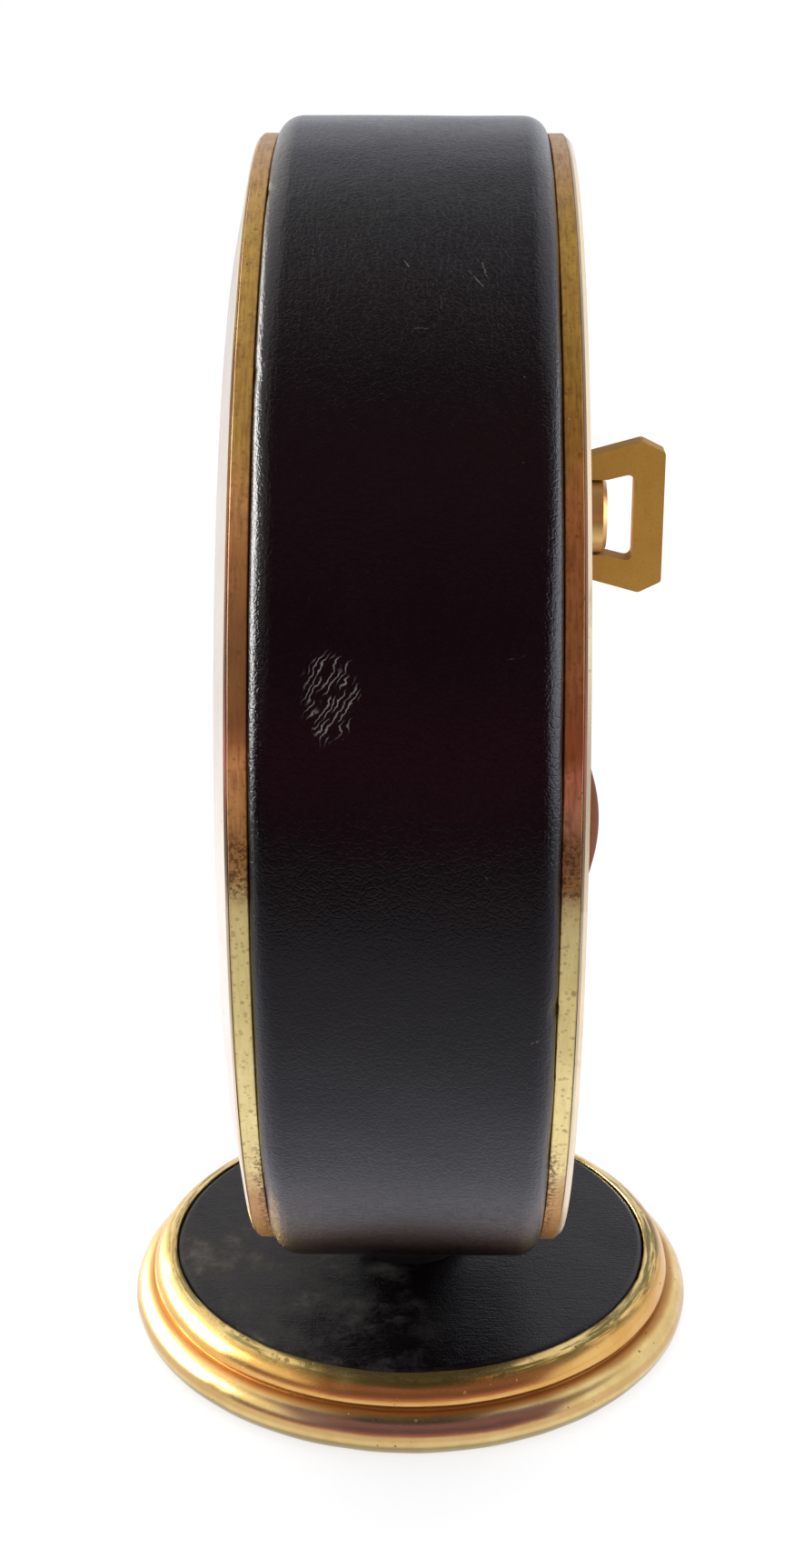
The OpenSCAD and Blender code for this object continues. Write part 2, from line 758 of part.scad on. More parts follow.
module setting_arbor() color("silver") in_drum() {
    slab(cannon_y - 1.2, cannon_y) at(set_at) gear2d(z_set, m_motion, set_phase, steps = 4);
    rod(cannon_y - 1.2, knob_bore_end - seat_gap, set_arbor_r, set_at);
    rod(gap_y + end_gap, back_plate_y - end_gap, set_collar_r, set_at);
}

module setting_knob() color("goldenrod") in_drum() difference() {
    side_top = knob_y + knob_h - knob_dome - knob_corner;
    edge = knob_r - knob_corner;
    turned(set_at) polygon(concat(
        [[0, knob_y], [knob_r - 0.5, knob_y], [knob_r, knob_y + 0.5], [knob_r, side_top]],
        arc([edge, side_top], knob_corner, 10, 80, 4),
        [for (i = [1 : 6]) let (r = edge * (1 - i / 6))
            [r, side_top + knob_corner + dome_rise(r, edge, knob_dome)]]));
    rod(knob_y - 1, knob_bore_end, set_arbor_r + seat_gap, set_at);
    for (k = [0 : knob_flutes - 1])
        rod(knob_y + 0.7, side_top - 0.2, 0.24,
            set_at + polar(knob_r + 0.08, 360 * k / knob_flutes), $fn = 16);
}

// Click and its spring

module click() color("silver") in_drum()
    slab(ratchet_y, ratchet_y + click_t) difference() {
        union() {
            at(click_at) circle(click_hub_r);
            polygon([
                click_at + [-0.6, -1.9], click_at + [0.6, 1.9], beak + [0.7, 0.4],
                beak + [0.25, -0.1]]);
        }
        at(click_at) circle(click_post_r + run_gap);
    }

module click_spring() color("silver") in_drum() {
    spring_t = 0.8;
    slab(ratchet_y, ratchet_y + spring_t) difference() {
        union() {
            at(click_foot) circle(1.6);
            polygon([
                click_foot + [-1.4, -0.5], click_foot + [-0.9, -1.2],
                click_at + [0.2, click_hub_r + 0.35], click_at + [-0.3, click_hub_r + 0.45]]);
        }
        at(click_foot) circle(small_screw_r + seat_gap);
    }
    slotted_screw(click_foot, ratchet_y + spring_t - eps, 0.6, 1.3, 2.4, small_screw_r);
}

// Plates, pillars and screws

module front_plate() color("darkgoldenrod") in_drum() {
    slab(front_plate_y, gap_y) difference() {
        circle(plate_r);
        circle(centre_arbor_r + run_gap);
        for (p = train_pivots) at(p) circle(pivot_r + run_gap);
        at(balance_at) circle(staff_pivot_r + run_gap);
        at(wind_at) circle(wind_pivot_r + run_gap);
        at(set_at) circle(set_arbor_r + run_gap);
        for (a = pillar_angles) at(polar(pillar_pcr, a)) circle(pillar_screw_r + 0.1);
        for (a = foot_angles) at(polar(foot_pcr, a)) circle(dial_tail_r + seat_gap);
    }
    rod(hour_wheel_y - 0.1, front_plate_y + eps, minute_post_r, minute_at);
}

module back_plate() color("darkgoldenrod") in_drum() {
    slab(back_plate_y, plate_back_y) difference() {
        circle(plate_r);
        for (p = concat([centre_at], train_pivots)) at(p) circle(pivot_r + run_gap);
        at(balance_at) circle(balance_r + 0.6);
        at(wind_at) circle(wind_pivot_r + run_gap);
        at(set_at) circle(set_arbor_r + run_gap);
        for (a = pillar_angles) at(polar(pillar_pcr, a)) circle(pillar_screw_r + 0.1);
        for (p = concat([click_foot], cock_screw_at)) at(p) circle(small_screw_r + seat_gap);
    }
    rod(plate_back_y - eps, ratchet_y + click_t + 0.3, click_post_r, click_at);
}

module plate_pillars() color("goldenrod") in_drum() for (a = pillar_angles) {
    p = polar(pillar_pcr, a);
    thread_l = 4;
    difference() {
        rod(gap_y + seat_gap, back_plate_y - seat_gap, pillar_r, p);
        rod(gap_y, gap_y + thread_l, pillar_screw_r + seat_gap, p);
        rod(back_plate_y - thread_l, back_plate_y, pillar_screw_r + seat_gap, p);
    }
}

module pillar_screws() color("silver") in_drum() for (a = pillar_angles) {
    p = polar(pillar_pcr, a);
    shank_l = plate_t + 3;
    slotted_screw(p, plate_back_y + seat_gap, 1, 1.8, shank_l, pillar_screw_r);
    mirror([0, 1, 0])
        slotted_screw(p, seat_gap - front_plate_y, 0.8, 1.8, shank_l, pillar_screw_r);
}

// Barrel with its cover and mainspring

module barrel() color("goldenrod") in_drum() difference() {
    union() {
        slab(barrel_y, barrel_y + teeth_t) at(wind_at) gear2d(z_barrel, m_great, wheel_phase);
        rod(barrel_y, barrel_y + barrel_h, barrel_r, wind_at);
    }
    rod(barrel_y + barrel_floor, barrel_y + barrel_h + 1, barrel_in_r, wind_at);
    rod(barrel_y - 1, barrel_y + barrel_h, wind_pivot_r + run_gap, wind_at);
}

module barrel_cover() color("goldenrod") in_drum() difference() {
    end = barrel_y + barrel_h;
    rod(end - barrel_cover_t, end, barrel_in_r - seat_gap, wind_at);
    rod(end - 1, end + 1, wind_pivot_r + run_gap, wind_at);
}

module mainspring() color("steelblue") in_drum()
    slab(barrel_y + barrel_floor + 0.3, barrel_y + barrel_h - barrel_cover_t - 0.3)
        at(wind_at) spiral2d(wind_arbor_r + 0.45, barrel_in_r - 0.45, mainspring_turns,
                             mainspring_t);

// Train

module train_wheel(p, z, m, level, bore, hub) {
    in_drum() slab(gap_y + level, gap_y + level + wheel_t) at(p) wheel2d(z, m, bore, hub);
}

module intermediate_wheel() color("gold")
    train_wheel(inter_at, z_inter, m_great, great_level, train_arbor_r + seat_gap, 2.4);

module intermediate_arbor() color("silver")
    pinion_arbor(inter_at, z_inter_pinion, m_great, inter_pinion_phase,
                 barrel_level - pinion_over, teeth_t + 2 * pinion_over, great_level);

module center_wheel() color("gold")
    train_wheel(centre_at, z_centre, m_centre, centre_level, centre_arbor_r + seat_gap, 2.4);

module center_arbor() color("silver") in_drum() {
    slab(gap_y + great_level - pinion_over, gap_y + great_level + wheel_t + pinion_over)
        gear2d(z_centre_pinion, m_great, centre_pinion_phase, steps = 4);
    rod(cannon_y - 1.9, back_plate_y - end_gap, centre_arbor_r);
    rod(back_plate_y - 1, back_plate_y + pivot_depth, pivot_r);
}

module third_wheel() color("gold")
    train_wheel(third_at, z_third, m_third, third_level, train_arbor_r + seat_gap, 1.8);

module third_arbor() color("silver")
    pinion_arbor(third_at, z_third_pinion, m_centre, third_pinion_phase,
                 centre_level - pinion_over + 0.05, wheel_t + 2 * pinion_over, third_level);

module fourth_wheel() color("gold")
    train_wheel(fourth_at, z_fourth, m_fourth, fourth_level, train_arbor_r + seat_gap, 1.8);

module fourth_arbor() color("silver")
    pinion_arbor(fourth_at, z_fourth_pinion, m_third, fourth_pinion_phase,
                 third_level - pinion_over, wheel_t + 2 * pinion_over, fourth_level);

// Club-toothed escape wheel: each tooth leans forward from a round rim
module escape_wheel() color("silver") in_drum() {
    rim = escape_r - 1.5;
    step = 360 / z_escape;
    escape_t = 0.5;
    slab(fork_y, fork_y + escape_t) at(escape_at) difference() {
        polygon([for (k = [0 : z_escape - 1]) each [
            polar(rim, step * k), polar(rim, step * (k + 0.45)),
            polar(escape_r - 0.35, step * (k + 0.78)), polar(escape_r, step * (k + 0.98)),
            polar(escape_r - 0.1, step * (k + 1.02)), polar(rim, step * (k + 0.8))]]);
        circle(train_arbor_r + seat_gap);
        difference() {
            circle(rim - 0.8);
            circle(1.5);
            for (k = [0 : 3]) rotate(90 * k) translate([0, -0.35]) square([rim, 0.7]);
        }
    }
}

module escape_arbor() color("silver")
    pinion_arbor(escape_at, z_escape_pinion, m_fourth, escape_pinion_phase,
                 fourth_level - pinion_over, wheel_t + 2 * pinion_over, escape_level);

// Escapement

// Drawing of a pallet stone, standing square to the escape wheel
module stone2d(side, grow = 0) {
    at(escape_at) rotate(stone_angle * side)
        translate([escape_r + stone_gap - grow, -stone_w / 2 - grow])
            square([stone_l + 2 * grow, stone_w + 2 * grow]);
}

// Lever: arms curved round the escape wheel, and a notched tail towards the balance
module pallet_fork() color("silver") in_drum() {
    tip = balance_at[0] - pallet_at[0] - roller_r - 0.8;
    arm_in = escape_r + stone_gap + 0.15;
    arm_out = escape_r + stone_gap + stone_l + 0.4;
    reach = stone_angle + 6;
    slab(fork_y, fork_y + fork_t) difference() {
        union() {
            at(escape_at) polygon(concat(
                arc([0, 0], arm_out, -reach, reach, 12),
                arc([0, 0], arm_in, reach, -reach, 12)));
            at(pallet_at) {
                circle(1);
                translate([0, -0.35]) square([tip - 0.9, 0.7]);
                translate([tip - 1, -0.9]) square([1, 1.8]);
            }
        }
        at(pallet_at) translate([tip - 0.5, -0.45]) square([1, 0.9]);
        for (s = [-1, 1]) stone2d(s, seat_gap);
    }
    rod(gap_y + 1, back_plate_y - end_gap, pivot_r + 0.1, pallet_at);
    rod(gap_y - pivot_depth, back_plate_y + pivot_depth, pivot_r, pallet_at);
}

module pallet_stones() color("crimson") in_drum()
    slab(fork_y - 0.1, fork_y + fork_t + 0.1) for (s = [-1, 1]) stone2d(s);

module balance_wheel() color("gold") in_drum() {
    rim_out_r = balance_r - timing_screw_l + 0.1;
    arm_w = 1.2;
    slab(balance_y, balance_y + rim_h) at(balance_at) difference() {
        circle(rim_out_r);
        circle(rim_out_r - rim_w);
    }
    slab(balance_y + 0.4, balance_y + 1) at(balance_at) difference() {
        union() {
            circle(1.6);
            translate([0.2 - rim_out_r, -arm_w / 2]) square([2 * rim_out_r - 0.4, arm_w]);
        }
        circle(staff_r + seat_gap);
    }
    for (k = [0 : 11]) translate([balance_at[0], balance_y + rim_h / 2, balance_at[1]])
        rotate([0, 15 + 30 * k, 0]) translate([balance_r - timing_screw_l, 0, 0])
            rotate([0, 90, 0]) cylinder(h = timing_screw_l, r = 0.45);
}

module balance_staff() color("silver") in_drum() {
    rod(gap_y - pivot_depth, cock_y + cock_t - 0.3, staff_pivot_r, balance_at);
    rod(fork_y - 2, cock_y - end_gap, staff_r, balance_at);
    rod(fork_y - 0.1, fork_y + fork_t + 0.1, roller_r, balance_at);
    rod(hairspring_y - 0.3, hairspring_y + hairspring_h + 0.3, collet_r, balance_at);
}

module hairspring() color("steelblue") in_drum()
    slab(hairspring_y, hairspring_y + hairspring_h) at(balance_at)
        spiral2d(hairspring_in_r, hairspring_r, hairspring_turns, hairspring_t);

// Cock that carries the balance's rear pivot over the opening in the back plate
module balance_cock() color("darkgoldenrod") in_drum() {
    difference() {
        union() {
            slab(plate_back_y + seat_gap, cock_y + cock_t) at(cock_foot)
                translate([-2.2, -4]) square([5.2, 8]);
            slab(cock_y, cock_y + cock_t) {
                at(balance_at) circle(2.6);
                polygon([
                    balance_at + [0.4, 2.5], balance_at + [0.9, -2.4], cock_foot + [0, -4],
                    cock_foot + [0, 4]]);
            }
        }
        rod(cock_y - 1, cock_y + cock_t + 1, staff_pivot_r + run_gap, balance_at);
        for (p = cock_screw_at)
            rod(plate_back_y - 1, cock_y + cock_t + 1, small_screw_r + seat_gap, p);
    }
    rod(hairspring_y - 0.1, cock_y + eps, spring_stud_r,
        balance_at + polar(hairspring_r + hairspring_t / 2 + spring_stud_r + seat_gap, -3));
}

module cock_screws() color("silver") in_drum()
    for (p = cock_screw_at)
        slotted_screw(p, cock_y + cock_t + seat_gap, 0.6, 1.3, cock_t + 3.4, small_screw_r);

// Motion work

module cannon_pinion() color("silver") in_drum() difference() {
    union() {
        slab(cannon_y - cannon_t, cannon_y) gear2d(z_cannon, m_motion, cannon_phase, steps = 4);
        rod(minute_hand_y + seat_gap, cannon_y - cannon_t + eps, cannon_r);
        rod(minute_hand_y - hand_t, minute_hand_y + 1, nose_r);
    }
    rod(cannon_y - 2, cannon_y + 1, centre_arbor_r + run_gap);
}

module minute_wheel() color("gold") in_drum() {
    wheel_y = cannon_y - cannon_t / 2 - motion_t / 2;
    slab(wheel_y, wheel_y + motion_t) at(minute_at)
        wheel2d(z_minute, m_motion, minute_post_r + run_gap, 1.9, 4);
    slab(hour_wheel_y - 0.1, wheel_y + eps) at(minute_at) difference() {
        gear2d(z_minute_pinion, m_hour, minute_pinion_phase, steps = 4);
        circle(minute_post_r + run_gap);
    }
}

module hour_wheel() color("gold") in_drum() difference() {
    union() {
        slab(hour_wheel_y, hour_wheel_y + motion_t)
            wheel2d(z_hour, m_hour, cannon_r + run_gap, 3);
        rod(hour_hand_y + seat_gap, hour_wheel_y + eps, hour_pipe_r);
        rod(hour_hand_y - hand_t, hour_hand_y + 1, hour_nose_r);
    }
    rod(hour_hand_y - 2, cannon_y, cannon_r + run_gap);
}

// Neck and foot

module neck_collar() color([0.05, 0.05, 0.05]) difference() {
    low = foot_top_z + seat_gap;
    top = foot_top_z + neck_h + 0.7;
    scoop_r = 3;
    rotate_extrude() polygon(concat(
        [[neck_bore_r, low], [neck_flange_r, low], [neck_flange_r, low + 0.9]],
        arc([neck_waist_r + scoop_r, foot_top_z + neck_h / 2], scoop_r, 220, 140, 8),
        [[neck_flange_r, foot_top_z + neck_h - 0.9], [neck_flange_r, top],
         [neck_bore_r, top]]));
    in_drum() rod(-drum_r, drum_r, drum_r + seat_gap, $fn = 720);
}

module mounting_stud() color("silver")
    translate([0, 0, stud_low_z]) cylinder(h = stud_top_z - stud_low_z, r = stud_r);

module stud_nuts() color("silver")
    for (z = [core_web_z - seat_gap - nut_h, shell_floor_z + washer_t + seat_gap])
        translate([0, 0, z]) linear_extrude(nut_h) difference() {
            circle(nut_r, $fn = 6);
            circle(stud_r + seat_gap);
        }

// Washer inside the drum, hollowed below to the drum's curve
module saddle_washer() color("silver") intersection() {
    translate([0, 0, shell_floor_z - 1]) linear_extrude(washer_t + 1) difference() {
        circle(washer_r);
        circle(neck_bore_r);
    }
    in_drum() rod(-drum_r, drum_r, shell_in_r - seat_gap, $fn = 720);
}

module foot_core() color("dimgray") difference() {
    translate([0, 0, felt_t + seat_gap])
        cylinder(h = foot_seat_z - felt_t - 2 * seat_gap, r = foot_bore_r - seat_gap);
    cylinder(h = foot_top_z, r = neck_bore_r);
    cylinder(h = core_web_z, r = nut_r + 0.8);
}

// Brass edge of the foot: a lower bead, a groove and an upper bead round the leather
module foot_edge() color("goldenrod") {
    low_c = [foot_r - lower_bead_r, lower_bead_r];
    high_c = [foot_top_r, groove_z];
    flat = asin((felt_proud - lower_bead_r) / lower_bead_r);
    groove_r = foot_r - lower_bead_r - 0.2;
    rotate_extrude() polygon(concat(
        [[foot_bore_r, felt_t], [felt_r + seat_gap, felt_t], [felt_r + seat_gap, felt_proud]],
        arc(low_c, lower_bead_r, flat, 84, 18),
        [[groove_r, 2 * lower_bead_r], [groove_r, groove_z]],
        arc(high_c, upper_bead_r, 0, 88, 14),
        [[foot_top_r + seat_gap, foot_seat_z], [foot_bore_r, foot_seat_z]]));
}

module foot_top() color([0.03, 0.03, 0.035]) difference() {
    edge = 0.6;
    rotate_extrude() polygon(concat(
        [[0, foot_seat_z + seat_gap], [foot_top_r, foot_seat_z + seat_gap]],
        arc([foot_top_r - edge, foot_top_z - edge], edge, 0, 90, 6),
        [[0, foot_top_z]]));
    cylinder(h = foot_top_z + 1, r = neck_bore_r);
}

module felt_pad() color("darkgreen") cylinder(h = felt_t - seat_gap, r = felt_r);

drum_shell();
leather_band();
front_ring();
front_bezel();
crystal();
crystal_ring();
dial();
dial_feet();
foot_nuts();
hour_markers();
hour_hand();
minute_hand();
hand_nut();
rear_ring();
back_cover();
back_cover_screws();
winding_arbor();
ratchet_wheel();
key_boss();
key_pivot_pins();
key_bow();
setting_arbor();
setting_knob();
click();
click_spring();
front_plate();
back_plate();
plate_pillars();
pillar_screws();
barrel();
barrel_cover();
mainspring();
intermediate_wheel();
intermediate_arbor();
center_wheel();
center_arbor();
third_wheel();
third_arbor();
fourth_wheel();
fourth_arbor();
escape_wheel();
escape_arbor();
pallet_fork();
pallet_stones();
balance_wheel();
balance_staff();
hairspring();
balance_cock();
cock_screws();
cannon_pinion();
minute_wheel();
hour_wheel();
neck_collar();
mounting_stud();
stud_nuts();
saddle_washer();
foot_core();
foot_edge();
foot_top();
felt_pad();
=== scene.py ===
"""Looks of a leather-covered table clock that stands on a round brass foot.

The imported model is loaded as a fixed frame. Each sub-assembly of the clock is a class that holds its sizes
in millimetres, builds the pieces that need more than the frame shows, and dresses the rest. Each finish is a
frozen dataclass that makes one procedural material. Lengths are millimetres until a mesh is made.
"""

from __future__ import annotations

import logging
import math
from dataclasses import dataclass, replace
from enum import Enum
from typing import Callable, Optional, Protocol, Sequence, Union

import bmesh
import bpy
import numpy as np
from mathutils import Matrix, Vector, noise

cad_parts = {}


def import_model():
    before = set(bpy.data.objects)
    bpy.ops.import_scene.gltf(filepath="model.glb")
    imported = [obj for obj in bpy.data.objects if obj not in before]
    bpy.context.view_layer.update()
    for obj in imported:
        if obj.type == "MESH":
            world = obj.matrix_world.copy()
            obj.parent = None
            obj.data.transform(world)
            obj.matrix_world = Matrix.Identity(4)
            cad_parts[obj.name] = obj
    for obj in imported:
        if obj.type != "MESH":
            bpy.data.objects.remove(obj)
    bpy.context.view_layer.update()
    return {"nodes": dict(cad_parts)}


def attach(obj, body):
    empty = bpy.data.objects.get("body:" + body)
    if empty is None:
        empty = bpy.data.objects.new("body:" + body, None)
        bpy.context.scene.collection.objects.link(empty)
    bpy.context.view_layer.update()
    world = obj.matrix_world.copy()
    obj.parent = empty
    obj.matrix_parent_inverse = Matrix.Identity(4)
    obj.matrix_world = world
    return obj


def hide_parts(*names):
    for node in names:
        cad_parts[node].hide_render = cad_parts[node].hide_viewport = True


LOG = logging.getLogger("table_clock")
MM = 0.001
DEGREE = math.pi / 180
DRUM_HEIGHT = 70.0

Colour = tuple[float, float, float]
Place = tuple[float, float, float]
Span = tuple[float, float]
Bands = tuple[tuple[float, Colour], ...]
Socket = bpy.types.NodeSocket
Value = Union[Socket, float, Colour]
Wiring = Callable[["Graph", dict[str, Socket]], dict[str, Socket]]


class Axis(Enum):
    """The two lines that the clock's round pieces are turned about."""

    DRUM = "Drum"
    FOOT = "Foot"


class Steel(Enum):
    """How a steel piece was finished, as its colour and roughness."""

    BRIGHT = ((0.56, 0.57, 0.59), 0.22)
    BLUED = ((0.035, 0.06, 0.22), 0.2)


# ---------------------------------------------------------------- node trees


class Graph:
    """A node tree while it is wired, for a material, a group or the world."""

    def __init__(self, tree: bpy.types.NodeTree) -> None:
        """Keeps the tree that the other methods add to."""
        self.tree = tree

    def add(self, kind: str, **settings: object) -> bpy.types.Node:
        """Adds a node and sets its properties.

        Args:
            kind: The node's type, such as ShaderNodeMath.
            settings: Properties of the node and their values.

        Returns:
            The new node.
        """
        node = self.tree.nodes.new(kind)
        for key, value in settings.items():
            setattr(node, key, value)
        return node

    def feed(self, socket: Socket, value: Value) -> None:
        """Links a socket to another one, or gives it a constant.

        Args:
            socket: The input to feed.
            value: A socket, a number, a colour or a vector.
        """
        if isinstance(value, bpy.types.NodeSocket):
            self.tree.links.new(value, socket)
        elif socket.type == "RGBA" and isinstance(value, tuple):
            socket.default_value = (*value[:3], 1.0)
        else:
            socket.default_value = value

    def math(self, operation: str, *values: Value, clamp: bool = False) -> Socket:
        """Adds a Math node.

        Args:
            operation: The operation's name.
            values: One to three inputs.
            clamp: Whether the result stays between 0 and 1.

        Returns:
            The result's socket.
        """
        node = self.add("ShaderNodeMath", operation=operation, use_clamp=clamp)
        for socket, value in zip(node.inputs, values):
            self.feed(socket, value)
        return node.outputs[0]

    def step(self, value: Value, low: Value, high: Value) -> Socket:
        """Rises smoothly from 0 at low to 1 at high, or falls where low is above high.

        Args:
            value: What is measured.
            low: Where the result is 0.
            high: Where the result is 1.

        Returns:
            The mask's socket.
        """
        node = self.add("ShaderNodeMapRange", interpolation_type="SMOOTHSTEP", clamp=True)
        for name, item in (("Value", value), ("From Min", low), ("From Max", high)):
            self.feed(node.inputs[name], item)
        return node.outputs["Result"]

    def mix(self, factor: Value, first: Value, second: Value) -> Socket:
        """Mixes two colours.

        Args:
            factor: 0 gives the first and 1 the second.
            first: The first colour.
            second: The second colour.

        Returns:
            The mixed colour's socket.
        """
        node = self.add("ShaderNodeMix", data_type="RGBA")
        for index, value in ((0, factor), (6, first), (7, second)):
            self.feed(node.inputs[index], value)
        return node.outputs[2]

    def noise(self, point: Value, scale: Value, detail: float = 2.0, rough: float = 0.5) -> Socket:
        """Adds a noise texture, whose value stays about 0.5.

        Args:
            point: The vector it is read at.
            scale: How many features there are per unit.
            detail: How many finer octaves are added.
            rough: How strong the finer octaves are.

        Returns:
            The value's socket.
        """
        node = self.add("ShaderNodeTexNoise", noise_dimensions="3D")
        for name, value in (("Vector", point), ("Scale", scale), ("Detail", detail), ("Roughness", rough)):
            self.feed(node.inputs[name], value)
        return node.outputs[0]

    def cells(self, point: Value, scale: Value, feature: str = "F1") -> bpy.types.Node:
        """Adds a cell texture.

        Args:
            point: The vector it is read at.
            scale: How many cells there are per unit.
            feature: Which distance is measured.

        Returns:
            The node, whose outputs are read by name.
        """
        node = self.add("ShaderNodeTexVoronoi", feature=feature)
        self.feed(node.inputs["Vector"], point)
        self.feed(node.inputs["Scale"], scale)
        return node

    def vector(self, across: Value, along: Value, up: Value = 0.0) -> Socket:
        """Joins three numbers into a vector.

        Args:
            across: The first number.
            along: The second number.
            up: The third number.

        Returns:
            The vector's socket.
        """
        node = self.add("ShaderNodeCombineXYZ")
        for socket, value in zip(node.inputs, (across, along, up)):
            self.feed(socket, value)
        return node.outputs[0]

    def parts(self, vector: Socket) -> tuple[Socket, Socket, Socket]:
        """Splits a vector into its three numbers.

        Args:
            vector: The vector's socket.

        Returns:
            The three sockets.
        """
        node = self.add("ShaderNodeSeparateXYZ")
        self.feed(node.inputs[0], vector)
        return node.outputs[0], node.outputs[1], node.outputs[2]

    def ramp(self, value: Value, stops: Sequence[tuple[float, Colour]]) -> Socket:
        """Adds a colour ramp.

        Args:
            value: What the ramp is read at, from 0 to 1.
            stops: Places and their colours, in rising order.

        Returns:
            The colour's socket.
        """
        node = self.add("ShaderNodeValToRGB")
        band = node.color_ramp.elements
        while len(band) < len(stops):
            band.new(0.5)
        for element, (place, _) in zip(band, stops):
            element.position = place
        for element, (_, colour) in zip(band, stops):
            element.color = (*colour, 1.0)
        self.feed(node.inputs[0], value)
        return node.outputs[0]

    def place(self, effect: "Effect", **values: Value) -> bpy.types.Node:
        """Places an effect's node group with its own values.

        Args:
            effect: The effect to place.
            values: Inputs by name, with underscores for spaces.

        Returns:
            The group node, whose outputs are read by name.
        """
        node = self.add("ShaderNodeGroup", node_tree=effect.tree())
        for key, value in values.items():
            self.feed(node.inputs[key.replace("_", " ").title()], value)
        return node

    def mask(self, effect: "Effect", **values: Value) -> Socket:
        """Places an effect's node group and gives its mask."""
        return self.place(effect, **values).outputs["Mask"]

    def band(self, measure: Socket, span: Span, soft: float) -> Socket:
        """Marks where a measure lies within a span.

        Args:
            measure: What is measured.
            span: The two ends of the span.
            soft: How far the mask fades beyond them.

        Returns:
            The mask's socket.
        """
        return self.mask(BAND, measure=measure, low=span[0], high=span[1], soft=soft)

    def times(self, first: Value, *others: Value) -> Socket:
        """Multiplies measures in turn.

        Args:
            first: The first one.
            others: The rest.

        Returns:
            The product's socket.
        """
        for other in others:
            first = self.math("MULTIPLY", first, other)
        return first

    def join(self, first: Socket, *others: Socket) -> Socket:
        """Joins masks, of which the strongest shows.

        Args:
            first: The first one.
            others: The rest.

        Returns:
            The joined mask's socket.
        """
        for other in others:
            first = self.math("MAXIMUM", first, other)
        return first

    def more(self, value: Value, extra: Socket, share: float, clamp: bool = False) -> Socket:
        """Adds a share of one measure to another.

        Args:
            value: What is added to.
            extra: What is added.
            share: How much of it is added.
            clamp: Whether the result stays between 0 and 1.

        Returns:
            The sum's socket.
        """
        return self.math("ADD", value, self.math("MULTIPLY", extra, share), clamp=clamp)

    def swing(self, value: Socket, reach: float) -> Socket:
        """Turns a noise, which stays about 0.5, into a swing to both sides of 0.

        Args:
            value: The noise.
            reach: How far a whole unit of it swings.

        Returns:
            The swing's socket.
        """
        return self.math("MULTIPLY", self.math("SUBTRACT", value, 0.5), reach)

    def hypot(self, first: Socket, second: Socket) -> Socket:
        """Gives the length of a line from its two parts.

        Args:
            first: The part one way.
            second: The part square to it.

        Returns:
            The length's socket.
        """
        squares = self.math("ADD", self.math("POWER", first, 2.0), self.math("POWER", second, 2.0))
        return self.math("SQRT", squares)

    def lay(self, colour: Value, mask: Socket, share: float, over: Value) -> Socket:
        """Lays one colour over another through a mask.

        Args:
            colour: The colour below.
            mask: Where the upper colour lies, from 0 to 1.
            share: How much of it lies there.
            over: The upper colour.

        Returns:
            The new colour's socket.
        """
        return self.mix(self.math("MULTIPLY", mask, share), colour, over)


@dataclass(frozen=True)
class Effect:
    """A shader node group with named inputs and outputs, built the first time it is placed.

    Inputs and outputs are pairs of a name and a default, where a tuple stands for a vector.
    """

    name: str
    inputs: tuple[tuple[str, object], ...]
    outputs: tuple[tuple[str, object], ...]
    wire: Wiring

    def tree(self) -> bpy.types.NodeTree:
        """Builds the group once.

        Returns:
            The group's tree.
        """
        made = bpy.data.node_groups.get(self.name)
        if made is not None:
            return made
        tree = bpy.data.node_groups.new(self.name, "ShaderNodeTree")
        for way, sockets in (("INPUT", self.inputs), ("OUTPUT", self.outputs)):
            for name, default in sockets:
                kind = "NodeSocketVector" if isinstance(default, tuple) else "NodeSocketFloat"
                socket = tree.interface.new_socket(name=name, in_out=way, socket_type=kind)
                socket.default_value = default
        graph = Graph(tree)
        source, sink = graph.add("NodeGroupInput"), graph.add("NodeGroupOutput")
        found = self.wire(graph, {name: source.outputs[name] for name, _ in self.inputs})
        for name, socket in found.items():
            graph.feed(sink.inputs[name], socket)
        return tree


def wire_turned(axis: Axis) -> Wiring:
    """Gives the wiring that measures a point about one of the two axes.

    Args:
        axis: The line that is measured about.

    Returns:
        The wiring function.
    """

    def wire(graph: Graph, source: dict[str, Socket]) -> dict[str, Socket]:
        """Measures the point in millimetres and degrees.

        Args:
            graph: The group's tree.
            source: The group's inputs.

        Returns:
            The sockets for Point, Across, Along, Angle and Arc.
        """
        seat = graph.add("ShaderNodeTexCoord").outputs["Object"]
        point = graph.add("ShaderNodeVectorMath", operation="SCALE")
        graph.feed(point.inputs[0], seat)
        graph.feed(point.inputs["Scale"], 1.0 / MM)
        east, north, up = graph.parts(point.outputs[0])
        first, second, along = east, north, up
        if axis is Axis.DRUM:
            first, second, along = east, graph.math("SUBTRACT", up, DRUM_HEIGHT), north
        across = graph.hypot(first, second)
        turn = graph.math("ARCTAN2", second, first)
        angle = graph.times(turn, 1.0 / DEGREE)
        arc = graph.times(turn, across)
        return {"Point": point.outputs[0], "Across": across, "Along": along, "Angle": angle, "Arc": arc}

    return wire


def wire_mottle(graph: Graph, source: dict[str, Socket]) -> dict[str, Socket]:
    """Makes broad, uneven clouds with smaller ones inside them.

    Args:
        graph: The group's tree.
        source: Point, Size in mm, and Contrast.

    Returns:
        The Cloud and Grain sockets.
    """
    scale = graph.math("DIVIDE", 1.0, source["Size"])
    broad = graph.noise(source["Point"], scale, 4.0, 0.62)
    half = graph.math("DIVIDE", 0.5, source["Contrast"])
    cloud = graph.step(broad, graph.math("SUBTRACT", 0.5, half), graph.math("ADD", 0.5, half))
    grain = graph.noise(source["Point"], graph.times(scale, 9.0), 3.0, 0.7)
    return {"Cloud": cloud, "Grain": grain}


